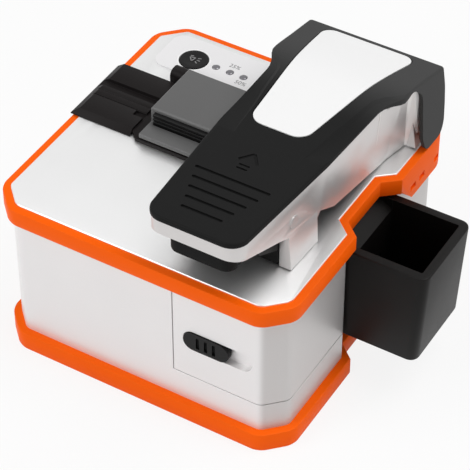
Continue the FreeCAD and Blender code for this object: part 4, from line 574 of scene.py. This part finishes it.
upper = bumper(UPPER_LOW, UPPER_HIGH)
step = UPPER_LOW - GUARD_LOW
guard_side = [(GUARD_FRONT, UPPER_LOW + MM), (GUARD_FRONT, UPPER_LOW), (GUARD_FRONT + step, GUARD_LOW),
              (FAR, GUARD_LOW), (FAR, UPPER_LOW + MM)]
guard = carve(pushed(guard_side, "x", BODY_HALF - CORNER_CUT, FAR), rounded_body(0, 0, UPPER_HIGH, OUTER_TURN),
              "INTERSECT")
guard = carve(guard, rounded_body(LIP, 0, 2 * UPPER_HIGH, INNER_TURN))
upper = carve(upper, guard, "UNION")
for slot_y in SLOT_SPOTS:
    upper = carve(upper, slab((BODY_HALF - SLOT_DEPTH, FAR), (slot_y - SLOT_HALF_LENGTH, slot_y + SLOT_HALF_LENGTH),
                              (SLOT_MIDDLE - SLOT_HALF_HEIGHT, SLOT_MIDDLE + SLOT_HALF_HEIGHT)))
place(upper, "upper_bumper_moulding", orange, "body", "orange_bumper", "upper_bumper")

# ------------------------------------------------------------------ deck
# A blasted silver plate that closes the body, with a bright machined bevel all
# round and openings for the button, the lamps, the blade and the scrap roller.
deck_silver = finish("deck_silver", "#E6E6E6", 0.38, grain=4600.0, depth=0.14, tone=0.03, gloss=0.06, Metallic=0.9)


def copied(name):
    """Merged copy of a carried-over node, with its flat faces joined again."""
    bm = bmesh.new()
    bm.from_mesh(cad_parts[name].data)
    bm.transform(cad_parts[name].matrix_world)
    bmesh.ops.remove_doubles(bm, verts=bm.verts, dist=0.000002)
    bmesh.ops.dissolve_limit(bm, angle_limit=math.radians(0.8), verts=bm.verts, edges=bm.edges)
    return bm


BEVEL_TOP, BEVEL_FOOT = 57.3 * MM, 56.9 * MM
BEVEL = BEVEL_TOP - BEVEL_FOOT
FINE_BEVEL = 0.2 * MM

deck = copied("deck_plate")
for rough, fine in zip(body_plan(LIP + BEVEL), body_plan(LIP + FINE_BEVEL)):
    for v in deck.verts:
        if v.co.z > BEVEL_TOP - 0.01 * MM and (v.co.xy - Vector(rough)).length < 0.1 * MM:
            v.co.xy = fine
for v in deck.verts:
    if abs(v.co.z - BEVEL_FOOT) < 0.01 * MM:
        v.co.z = BEVEL_TOP - FINE_BEVEL
deck = carve(deck, rounded_body(LIP, 0, 2 * BEVEL_TOP, INNER_TURN), "INTERSECT")
place(deck, "deck_sheet", deck_silver, "body", "pale_deck", "deck_plate", soft=0.05 * MM)

# ------------------------------------------------------------------ control panel
# A thin pale film round a black domed button with a lamp sign, and three smoked
# lamp domes with the charge printed beside them.
DECK = 57.3 * MM
BUTTON_SPOT = Vector((-31.8, 35.9, 0)) * MM
LAMP_SPOTS = [Vector((x, 36.3, 0)) * MM for x in (-24.0, -19.0, -14.1)]
RIM_RADII = (4.85 * MM, 5.35 * MM)
RIM_TOP = 0.23 * MM
RIM_THICKNESS = 0.06 * MM
SIGN_LOW, SIGN_HIGH = DECK + 0.3 * MM, DECK + 0.42 * MM
STROKE_HALF = 0.16
DOME_RADIUS = 1.25 * MM
DOME_FLATTENING = 0.42
DOME_BOTTOM = -1.9 * MM
PRINT_TOP = DECK + 0.22 * MM
LETTER_SIZE = 2.3 * MM

film = finish("panel_film", "#ECEBEC", 0.5, grain=2200.0, depth=0.06, tone=0.03)
print_grey = finish("print_grey", "#8C8C8C", 0.6, grain=3000.0, depth=0.05, Specular_IOR_Level=0.2)
lamp_smoke = finish("lamp_smoke", "#77767A", 0.12, grain=900.0, depth=0.03, Metallic=0.6)
dress(film, "control_overlay")
place(copied("lamp_button"), "button_cap", glossy_black, "button", "black_plastic", "lamp_button", soft=0.1 * MM)


def flat_mark(points, low, high):
    """Thin raised or sunk shape of a printed mark."""
    return pushed([(x * MM, y * MM) for x, y in points], "z", low, high)


def bar(start, end, half):
    """Outline of a straight stroke between two points."""
    a, b = Vector(start), Vector(end)
    side = Vector((a.y - b.y, b.x - a.x)).normalized() * half
    return [tuple(a + side), tuple(a - side), tuple(b - side), tuple(b + side)]


def joined(shapes):
    """One mesh from several separate shapes."""
    whole = bmesh.new()
    for shape in shapes:
        part = bpy.data.meshes.new("part")
        shape.to_mesh(part)
        shape.free()
        whole.from_mesh(part)
        bpy.data.meshes.remove(part)
    return whole


shade_strokes = [((-1.7, 0.6), (0.1, 0.9)), ((0.1, 0.9), (-0.4, -1.0)), ((-0.4, -1.0), (-1.7, 0.6)),
                 ((-0.9, 1.5), (-1.9, 1.2))]
light_strokes = [((0.9, 1.0), (1.9, 1.4)), ((1.0, 0.1), (2.1, 0.1)), ((0.8, -0.7), (1.7, -1.3))]
lamp_sign = joined([flat_mark(bar(a, b, STROKE_HALF), SIGN_LOW, SIGN_HIGH) for a, b in shade_strokes + light_strokes])
bmesh.ops.translate(lamp_sign, verts=lamp_sign.verts, vec=BUTTON_SPOT)
place(lamp_sign, "button_sign", print_grey, "button", "black_plastic")

rim = bmesh.new()
for radius in RIM_RADII:
    bmesh.ops.create_circle(rim, radius=radius, segments=72)
bmesh.ops.bridge_loops(rim, edges=rim.edges[:])
bmesh.ops.translate(rim, verts=rim.verts, vec=BUTTON_SPOT + Vector((0, 0, DECK + RIM_TOP)))
bmesh.ops.solidify(rim, geom=rim.faces[:], thickness=RIM_THICKNESS)
bmesh.ops.recalc_face_normals(rim, faces=rim.faces)
place(rim, "button_rim", finish("rim_white", "#F6F6F6", 0.35, grain=2000.0, depth=0.04), "body", "panel_film")

domes = []
for spot in LAMP_SPOTS:
    dome = bmesh.new()
    bmesh.ops.create_uvsphere(dome, u_segments=32, v_segments=16, radius=DOME_RADIUS)
    for v in dome.verts:
        v.co.z = v.co.z * DOME_FLATTENING if v.co.z > 0 else max(v.co.z * 2, DOME_BOTTOM)
        v.co += spot + Vector((0, 0, DECK + 0.1 * MM))
    domes.append(dome)
place(joined(domes), "lamp_domes", lamp_smoke, "body", "lamp_lens", "indicator_leds")


def printed(words, size, spot):
    """Flat letters that lie on the deck, read from the front."""
    curve = bpy.data.curves.new("letters", "FONT")
    curve.body = words
    curve.size = size
    curve.align_x = "CENTER"
    curve.align_y = "CENTER"
    curve.extrude = 0.02 * MM
    holder = bpy.data.objects.new("letters", curve)
    scene.collection.objects.link(holder)
    bpy.context.view_layer.update()
    letters = bmesh.new()
    letters.from_mesh(holder.evaluated_get(bpy.context.evaluated_depsgraph_get()).to_mesh())
    bpy.data.objects.remove(holder)
    bmesh.ops.translate(letters, verts=letters.verts, vec=spot)
    return letters


for words, x, y in (("25%", -19.0, 39.4), ("50%", -13.5, 33.3)):
    letters = printed(words, LETTER_SIZE, Vector((x * MM, y * MM, PRINT_TOP)))
    place(letters, "charge_" + words[:2], print_grey, "body", "panel_film")

# ------------------------------------------------------------------ fibre guide and clamp stage
# Anodised black plates on the deck. The fibre lies in the V groove that runs
# across both, and the stage has two lugs for the lid's hinge pin.
anodised = finish("black_anodised", "#1A1717", 0.46, grain=3600.0, depth=0.12, tone=0.08, edge="#4A4A4A",
                  edge_amount=0.6, Specular_IOR_Level=0.08)
place(copied("guide_plate"), "guide_plate_milled", anodised, "body", "black_metal", "guide_plate", soft=0.15 * MM)
place(copied("clamp_stage"), "clamp_stage_milled", anodised, "body", "black_metal", "clamp_stage", soft=0.25 * MM)
dress(steel, "lid_hinge_pin")
dress(black_rubber, "lower_lid_pad", "upper_lid_pad", "lower_blade_pads", "upper_blade_pads")

# ------------------------------------------------------------------ clamp lid
# A smoke-grey moulded lid with a finger tab, on a black inner block that presses
# the upper pad down on the fibre.
smoke = finish("smoke_grey", "#616161", 0.4, grain=2800.0, depth=0.03, tone=0.02, gloss=0.05, edge="#A5A5A5",
               edge_amount=1.6, Specular_IOR_Level=0.2)
place(copied("lid_cover"), "lid_moulding", smoke, "lid", "grey_plastic", "lid_cover", soft=0.4 * MM, segments=3)
place(copied("lid_core"), "lid_block", glossy_black, "lid", "black_plastic", "lid_core", soft=0.15 * MM)

# ------------------------------------------------------------------ blade and its carriage
# The round carbide blade turns on a shouldered screw in a carriage that slides
# on two ground rods; a bar joins it to the arm's drive pin.
carbide = finish("carbide", "#9A9CA0", 0.2, grain=2000.0, depth=0.05, Metallic=1.0)
dress(carbide, "blade_wheel", "anvil")
dress(steel, "blade_axle", "guide_rods", "hinge_brackets", "hinge_pin", "arm_spring", "drive_pin", "drive_bar")
dress(silver, "blade_carriage", "lower_clamp_blocks")
dress(black_moulding, "drive_lever")

# ------------------------------------------------------------------ scrap rollers
# A rubber roller under the deck's window, driven by a small motor through a belt,
# and a second roller in the arm that presses on it.
dress(black_rubber, "drive_roller", "pinch_roller", "drive_belt")
dress(steel, "roller_axle", "roller_motor", "motor_pulley", "dock_magnets")

# ------------------------------------------------------------------ arm frame
# A cast and blasted silver channel: two side walls that carry the pin of the
# black inner block, a lip round the tip and two shoes that stand just above the deck.
frame_silver = finish("frame_silver", "#D4D1D0", 0.34, grain=3200.0, depth=0.12, tone=0.04, gloss=0.08, Metallic=0.6)
ARM_MIDDLE = 24.5
SHOE_FRONT, SHOE_REAR = -31.1, -16.7
SHOE_PLANS = (
    (57.7, ((13.1, SHOE_FRONT), (16.95, SHOE_FRONT), (17.45, SHOE_REAR), (14.2, SHOE_REAR))),
    (69.0, ((13.1, SHOE_FRONT), (16.1, SHOE_FRONT), (17.0, SHOE_REAR), (14.2, SHOE_REAR))))
FOOT_LEFT, FOOT_RIGHT = 11.7 * MM, 37.3 * MM
FOOT_LOW, FOOT_HIGH = 58.1 * MM, 66 * MM


def shoe(side):
    """Thickened foot of the side wall; it flares out and in towards the deck."""
    bm = bmesh.new()
    low, high = ([bm.verts.new(((ARM_MIDDLE + side * x) * MM, y * MM, z * MM)) for x, y in plan]
                 for z, plan in SHOE_PLANS)
    for i in range(4):
        bm.faces.new((low[i], low[i - 1], high[i - 1], high[i]))
    bm.faces.new(low)
    bm.faces.new(high)
    bmesh.ops.recalc_face_normals(bm, faces=bm.faces)
    return bm


casting = carve(carve(copied("arm_frame"), shoe(1), "UNION"), shoe(-1), "UNION")
place(casting, "frame_casting", frame_silver, "arm", "silver_metal", "arm_frame", soft=0.35 * MM,
      segments=3)
place(copied("arm_pad"), "tip_pad", black_rubber, "arm", "dark_rubber", "arm_pad", soft=0.6 * MM,
      segments=3)
block = carve(copied("arm_core"), slab((FOOT_LEFT, FOOT_RIGHT), (SHOE_FRONT * MM, SHOE_REAR * MM),
                                       (FOOT_LOW, FOOT_HIGH)), "UNION")
place(block, "core_moulding", black_moulding, "arm", "black_plastic", "arm_core", soft=0.3 * MM)
dress(frame_silver, "core_pin")
dress(steel, "clamp_knob")

# ------------------------------------------------------------------ arm cover
# A grained black moulding over the frame, with five finger grooves and an arrow at
# the tip, sunk shoulders, a saddle and two legs that reach down round the hinge.
COVER_TIP, COVER_REAR = -57, 49.6
TIP_HALF, REAR_HALF = 15.3, 22.4
LEAN_FROM = 81.0
LEAN = 0.15
TIP_ROUND = 5.5
REAR_ROUNDING = 1.2
TOP_LINE = ((-57, 85.9), (-13, 84.7), (14, 84.06), (18, 83.93), (21.5, 83.72), (25, 83.35), (28.5, 82.75),
            (32, 82.05), (35, 81.4), (49.6, 77.9))
UNDER_LINE = ((49.6, 76.5), (48.7, 71.8), (47.6, 66.4), (46.2, 61.2), (45.2, 59.6), (44.2, 58.6),
              (43.0, 57.9), (41.5, 57.7), (36.0, 57.7), (34.6, 58.1), (33.6, 59.2), (32.8, 62.6),
              (33.9, 69.1), (35.0, 75.0), (34.9, 76.8), (34.2, 78.2), (33.0, 79.6), (31.6, 80.8),
              (30.0, 81.5), (28.4, 81.5), (26.8, 81.0), (25.4, 80.7), (23.8, 80.8), (22.0, 81.2),
              (18.5, 81.9), (15.0, 82.4), (-13, 83.0), (-57, 84.2))
HALF_WIDTHS = ((-13, 17.9), (10, 18.5), (16, 18.7), (18, 18.95), (20, 19.6), (21.5, 20.3), (23.5, 21.45),
               (25.3, 22.15), (27.5, 22.4))
INNER_WIDTHS = ((22.0, 18.9), (23.5, 20.2), (25.3, 20.9), (27.5, 21.2), (60.0, 21.2))


def along(line, y):
    """Value of a line of (y, value) points at y."""
    for (a, low), (b, high) in zip(line, line[1:]):
        if y <= b:
            return low + (high - low) * (y - a) / (b - a)
    return line[-1][1]


def rounded_widths():
    """Half widths from tip to rear, with round corners at both ends."""
    tip, rear = [], []
    for i in range(9):
        turn = math.radians(90 * i / 8)
        tip.append((COVER_TIP + TIP_ROUND * (1 - math.cos(turn)), TIP_HALF - TIP_ROUND * (1 - math.sin(turn))))
        rear.append((COVER_REAR - REAR_ROUNDING * (1 - math.sin(turn)),
                     REAR_HALF - REAR_ROUNDING * (1 - math.cos(turn))))
    return tip + list(HALF_WIDTHS) + rear


def leaning(widths, heights):
    """Solid through plans at several heights; below the saddle its sides lean outwards."""
    bm = bmesh.new()
    rings = []
    for z in heights:
        ring = []
        for side in (1, -1):
            for y, half in widths if side > 0 else widths[::-1]:
                out = half + max(LEAN_FROM - z, 0) * LEAN * min(max((y - 21) / 4.5, 0), 1)
                ring.append(bm.verts.new(Vector((ARM_MIDDLE + side * out, y, z)) * MM))
        rings.append(ring)
    for low, high in zip(rings, rings[1:]):
        for i in range(len(low)):
            j = (i + 1) % len(low)
            bm.faces.new((low[i], low[j], high[j], high[i]))
    bm.faces.new(rings[0][::-1])
    bm.faces.new(rings[-1])
    bmesh.ops.recalc_face_normals(bm, faces=bm.faces)
    return bm


def side_cut(points):
    return pushed([(y * MM, z * MM) for y, z in points], "x", -FAR, FAR)


def top_rim(direction, middle):
    """Edges round the outside of the cover's top."""
    y, z = middle.y / MM, middle.z / MM
    beside = abs(middle.x / MM - ARM_MIDDLE) > along(rounded_widths(), y) - 0.3
    return abs(z - along(TOP_LINE, y)) < 0.05 and (beside or y < -56.9 or y > COVER_REAR - 0.1)


# The crease's y, its distance from the middle, and how far the edge lies below it.
CREASE = ((-15, 11.3, 0.0), (-9, 11.9, 0.5), (-2, 12.5, 1.0), (7, 13.8, 1.15), (15, 14.7, 1.2),
          (17.5, 15.1, 1.25), (19.5, 16.1, 1.25), (21.6, 17.6, 1.2), (23.3, 19.6, 1.1), (25.3, 21.1, 0.8),
          (27.3, 22.0, 0.4), (29, 22.6, 0.0))


def shoulder(side):
    """Tool that lowers the cover's edge outside the crease; it fades in and out."""
    bm = bmesh.new()
    rings = []
    for y, inner, drop in CREASE:
        top = along(TOP_LINE, y)
        step = min(1.2, 0.4 + drop)
        section = ((inner, top + 3), (inner, top + 0.01), (inner + step, top - drop * 0.72),
                   (26, top - drop * 1.25), (26, top + 3))
        rings.append([bm.verts.new(Vector((ARM_MIDDLE + side * x, y, z)) * MM) for x, z in section])
    for low, high in zip(rings, rings[1:]):
        for i in range(5):
            j = (i + 1) % 5
            bm.faces.new((low[i], low[j], high[j], high[i]))
    bm.faces.new(rings[0][::-1])
    bm.faces.new(rings[-1])
    bmesh.ops.recalc_face_normals(bm, faces=bm.faces)
    return bm


def sunk_bar(left, right, y, half, depth):
    """Oblong tool for one groove in the sloping top."""
    bm = bmesh.new()
    bmesh.ops.create_circle(bm, cap_ends=True, radius=half * MM, segments=24)
    for v in bm.verts:
        v.co.x += (ARM_MIDDLE + (right - half if v.co.x > 0 else left + half)) * MM
        v.co.y += y * MM
        v.co.z = (along(TOP_LINE, y) - depth) * MM
    far = bmesh.ops.extrude_face_region(bm, geom=bm.faces[:])["geom"]
    bmesh.ops.translate(bm, verts=[v for v in far if isinstance(v, bmesh.types.BMVert)], vec=(0, 0, 3 * MM))
    bmesh.ops.recalc_face_normals(bm, faces=bm.faces)
    return bm


LABEL_PLAN = ((-10.8, -8.0), (7.2, -8.0), (14.6, 47.4), (-16.2, 47.4))
LABEL_CORNER = 4.2
GROOVE_LENGTHS = (24.1, 21.2, 18.6, 15.7, 13.3)
FIRST_GROOVE_Y, GROOVE_STEP, GROOVES_MIDDLE = -33.4, 4.07, -0.8
ARROW_HALF = 0.5
DASH_HALF = 0.35
HOLLOW_REAR = 48.2
HOLLOW_ROOF = ((22, 2.4), (25, 2.2), (28.5, 1.8), (HOLLOW_REAR, 1.8))


def label_body(grow, low, high):
    """Label outline, grown sideways, between two heights measured from the cover's top."""
    corners = [((ARM_MIDDLE + x + (grow if x > 0 else -grow)) * MM, (y + (grow if y > 0 else -grow)) * MM)
               for x, y in LABEL_PLAN]
    sheet = round_off(pushed(corners, "z", 60 * MM, 95 * MM), (LABEL_CORNER + grow) * MM, upright, 8)
    layer = [(y, z + high) for y, z in TOP_LINE] + [(y, z + low) for y, z in TOP_LINE[::-1]]
    return carve(sheet, side_cut(layer), "INTERSECT")


cover = carve(leaning(rounded_widths(), (50, LEAN_FROM, 95)), side_cut(TOP_LINE + UNDER_LINE), "INTERSECT")
cover = round_off(cover, 0.7 * MM, top_rim, 4)
hollow = [(22, 50)] + [(y, along(TOP_LINE, y) - thickness) for y, thickness in HOLLOW_ROOF]
hollow += [(HOLLOW_REAR, 73), (60, 73), (60, 50)]
cover = carve(cover, carve(leaning(INNER_WIDTHS, (50, LEAN_FROM, 95)), side_cut(hollow), "INTERSECT"))
for side in (1, -1):
    cover = carve(cover, shoulder(side))
cover = carve(cover, label_body(0.4, -0.35, 3))
for i, length in enumerate(GROOVE_LENGTHS):
    cover = carve(cover, sunk_bar(GROOVES_MIDDLE - length / 2, GROOVES_MIDDLE + length / 2,
                                  FIRST_GROOVE_Y - GROOVE_STEP * i, 0.55, 0.6))
arrow = [bar((-4.1, -24.6), (-1.1, -20.6), ARROW_HALF), bar((1.8, -24.5), (-1.1, -20.6), ARROW_HALF)]
arrow += [[(-2.9, y - DASH_HALF), (0.5, y - DASH_HALF), (0.5, y + DASH_HALF), (-2.9, y + DASH_HALF)]
          for y in (-26.3, -27.9)]
for outline in arrow:
    cover = carve(cover, flat_mark([(x + ARM_MIDDLE, y) for x, y in outline], 84.62 * MM, 90 * MM))
arm_black = finish("arm_black", "#1A1A1A", 0.5, grain=3400.0, depth=0.12, tone=0.05, gloss=0.06,
                   edge="#303030", edge_amount=1.0, Specular_IOR_Level=0.06)
# Painted sheen: the cover's black turns lighter towards the saddle at the rear, where it would reflect more light.
painted_shading(arm_black, "Y", 4 * MM, 34 * MM, "#424242")
cover = place(cover, "cover_moulding", arm_black, "arm", "black_plastic", "arm_cover", soft=0.14 * MM)
even = cover.modifiers.new("even shading", "WEIGHTED_NORMAL")
even.keep_sharp = True

# ------------------------------------------------------------------ arm frame's cheeks
# Flat silver cheeks cast with the frame; they fill the arch in front of each leg
# and lie just inside the cover's saddle.
CHEEK_TOP = ((18.5, 17), (18.55, 18), (19.0, 20), (19.45, 22), (19.95, 24), (20.2, 26), (20.35, 28.3),
             (21.6, 31.5), (21.6, 44))
CHEEK_FOOT = ((17.1, 17), (17.15, 18), (17.2, 20), (17.3, 22), (17.2, 24), (17.2, 26), (18.9, 32.8),
              (22.6, 36.2), (22.6, 44))
CHEEK_THICKNESS = 2
CHEEK_SIDE = ((17, 62.2), (23, 60.6), (27, 58.4), (33.3, 57.9), (33.9, 60.3), (36.4, 65.1), (38.5, 68),
              (44, 70), (44, 78), (31, 81.3), (28.5, 81.9), (25, 81.6), (17, 82.2))


def cheek_block(inset, foot, top):
    """Solid between a plan at the foot and one at the top, both sides mirrored."""
    bm = bmesh.new()
    rings = [[bm.verts.new(Vector((ARM_MIDDLE + side * (half - inset), y, z)) * MM)
              for side in (1, -1) for half, y in plan[::side]] for plan, z in ((CHEEK_FOOT, foot), (CHEEK_TOP, top))]
    low, high = rings
    for i in range(len(low)):
        j = (i + 1) % len(low)
        bm.faces.new((low[i], low[j], high[j], high[i]))
    bm.faces.new(low[::-1])
    bm.faces.new(high)
    bmesh.ops.triangulate(bm, faces=bm.faces)
    bmesh.ops.recalc_face_normals(bm, faces=bm.faces)
    return bm


cheek = carve(cheek_block(0, 57.9, 82), cheek_block(CHEEK_THICKNESS, 57.8, 82.1))
cheek = carve(cheek, side_cut(CHEEK_SIDE), "INTERSECT")
# Painted light: the cheeks get a lighter, less metallic copy of the frame's silver, so they stay bright in the shade
# under the saddle.
lit_cheek_silver = finish("lit_cheek_silver", "#EDEBE9", 0.4, grain=3200.0, depth=0.1, tone=0.03, Metallic=0.3)
place(cheek, "frame_cheeks", lit_cheek_silver, "arm", "silver_metal")

# ------------------------------------------------------------------ arm's label plate
# A thin pale plate glued on the cover's top; it bends with the top towards the rear.
label_white = finish("label_white", "#F5F5F5", 0.42, grain=2600.0, depth=0.03, tone=0.015, gloss=0.03,
                     Specular_IOR_Level=0.3)
place(label_body(0, -0.3, 0.08), "label_sheet", label_white, "arm", "label_white", "arm_label_plate",
      soft=0.05 * MM)

# ------------------------------------------------------------------ scrap bin
# A moulded black box, open at the top, with rounded upright edges and a ramp under
# the bumper for the scraps. It hangs on the dock's two pegs in the notch.
bin_black = finish("bin_black", "#0D0B0A", 0.42, grain=2900.0, depth=0.08, tone=0.08, edge="#2E2C2B",
                   edge_amount=1.5, Specular_IOR_Level=0.16)
BIN_RIGHT, BIN_FRONT, BIN_REAR = 73.1 * MM, -8.7 * MM, 20.4 * MM
BIN_LOW, BIN_HIGH = 16 * MM, 50 * MM
BIN_WALL = 2.8 * MM
BIN_DRAFT = 1.8 * MM
BIN_PLAN = ((47.35, -8.7), (73.1, -8.7), (73.1, 20.4), (47.4, 20.4), (43.2, 16.8), (43.2, -5.2))
SIDE_FROM = 60 * MM
ROOM_LEFT = 48.2 * MM
RAMP_SIDE = ((43, 49.4), (48.3, 46), (48.3, 53), (43, 53))
INLET_PLAN = ((43, -4), (45.2, -5.9), (49, -5.9), (49, 17.6), (45.2, 17.6), (43, 15.7))
DOCK_RIGHT = 45.9 * MM
DOCK_GAP, DOCK_TOP_GAP = 0.4 * MM, 0.3 * MM
PEG_SPOTS = (0.8 * MM, 10.8 * MM)
PEG_MIDDLE, PEG_HEIGHT = 46 * MM, 32 * MM
PEG_HOLE, PEG_DEPTH = 1.55 * MM, 8 * MM
INLET_HALF = 10 * MM
dock_low, dock_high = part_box("bin_dock")


def millimetres(points):
    """Points in metres from points in millimetres."""
    return [(a * MM, b * MM) for a, b in points]


def drafted(bm):
    """Lean the outer side in towards the floor."""
    for v in bm.verts:
        if v.co.x > SIDE_FROM:
            v.co.x -= BIN_DRAFT * (BIN_HIGH - v.co.z) / (BIN_HIGH - BIN_LOW)
    return bm


def steep(direction, middle):
    """Picks upright edges, the drafted ones too."""
    return abs(direction.z) > 0.9


def flat(direction, middle):
    """Picks the edges round the rim and the floor."""
    return abs(direction.z) < 0.3


def outer_corner(direction, middle):
    """Picks the two upright edges furthest from the body."""
    return steep(direction, middle) and middle.x > SIDE_FROM


scrap_box = drafted(pushed(millimetres(BIN_PLAN), "z", BIN_LOW, BIN_HIGH))
scrap_box = round_off(scrap_box, 3 * MM, outer_corner, 6)
scrap_box = round_off(scrap_box, 0.5 * MM, flat, 3)
inner_y = (BIN_FRONT + BIN_WALL, BIN_REAR - BIN_WALL)
room = drafted(slab((ROOM_LEFT, BIN_RIGHT - BIN_WALL), inner_y, (BIN_LOW + BIN_WALL, BIN_HIGH + 3 * MM)))
scrap_box = carve(scrap_box, round_off(room, 0.5 * MM, steep, 3))
ramp = pushed(millimetres(RAMP_SIDE), "y", *inner_y)
inlet = pushed(millimetres(INLET_PLAN), "z", BIN_HIGH - INLET_HALF, BIN_HIGH + INLET_HALF)
scrap_box = carve(scrap_box, carve(ramp, inlet, "INTERSECT"))
scrap_box = carve(scrap_box, slab((0, DOCK_RIGHT), (dock_low.y - DOCK_GAP, dock_high.y + DOCK_GAP),
                                  (0, dock_high.z + DOCK_TOP_GAP)))
for peg_y in PEG_SPOTS:
    hole = bmesh.new()
    across = Matrix.Translation((PEG_MIDDLE, peg_y, PEG_HEIGHT)) @ Matrix.Rotation(math.radians(90), 4, "Y")
    bmesh.ops.create_cone(hole, cap_ends=True, segments=32, radius1=PEG_HOLE, radius2=PEG_HOLE,
                          depth=PEG_DEPTH, matrix=across)
    scrap_box = carve(scrap_box, hole)
place(scrap_box, "bin_moulding", bin_black, "bin", "black_plastic", "scrap_bin", soft=0.3 * MM)
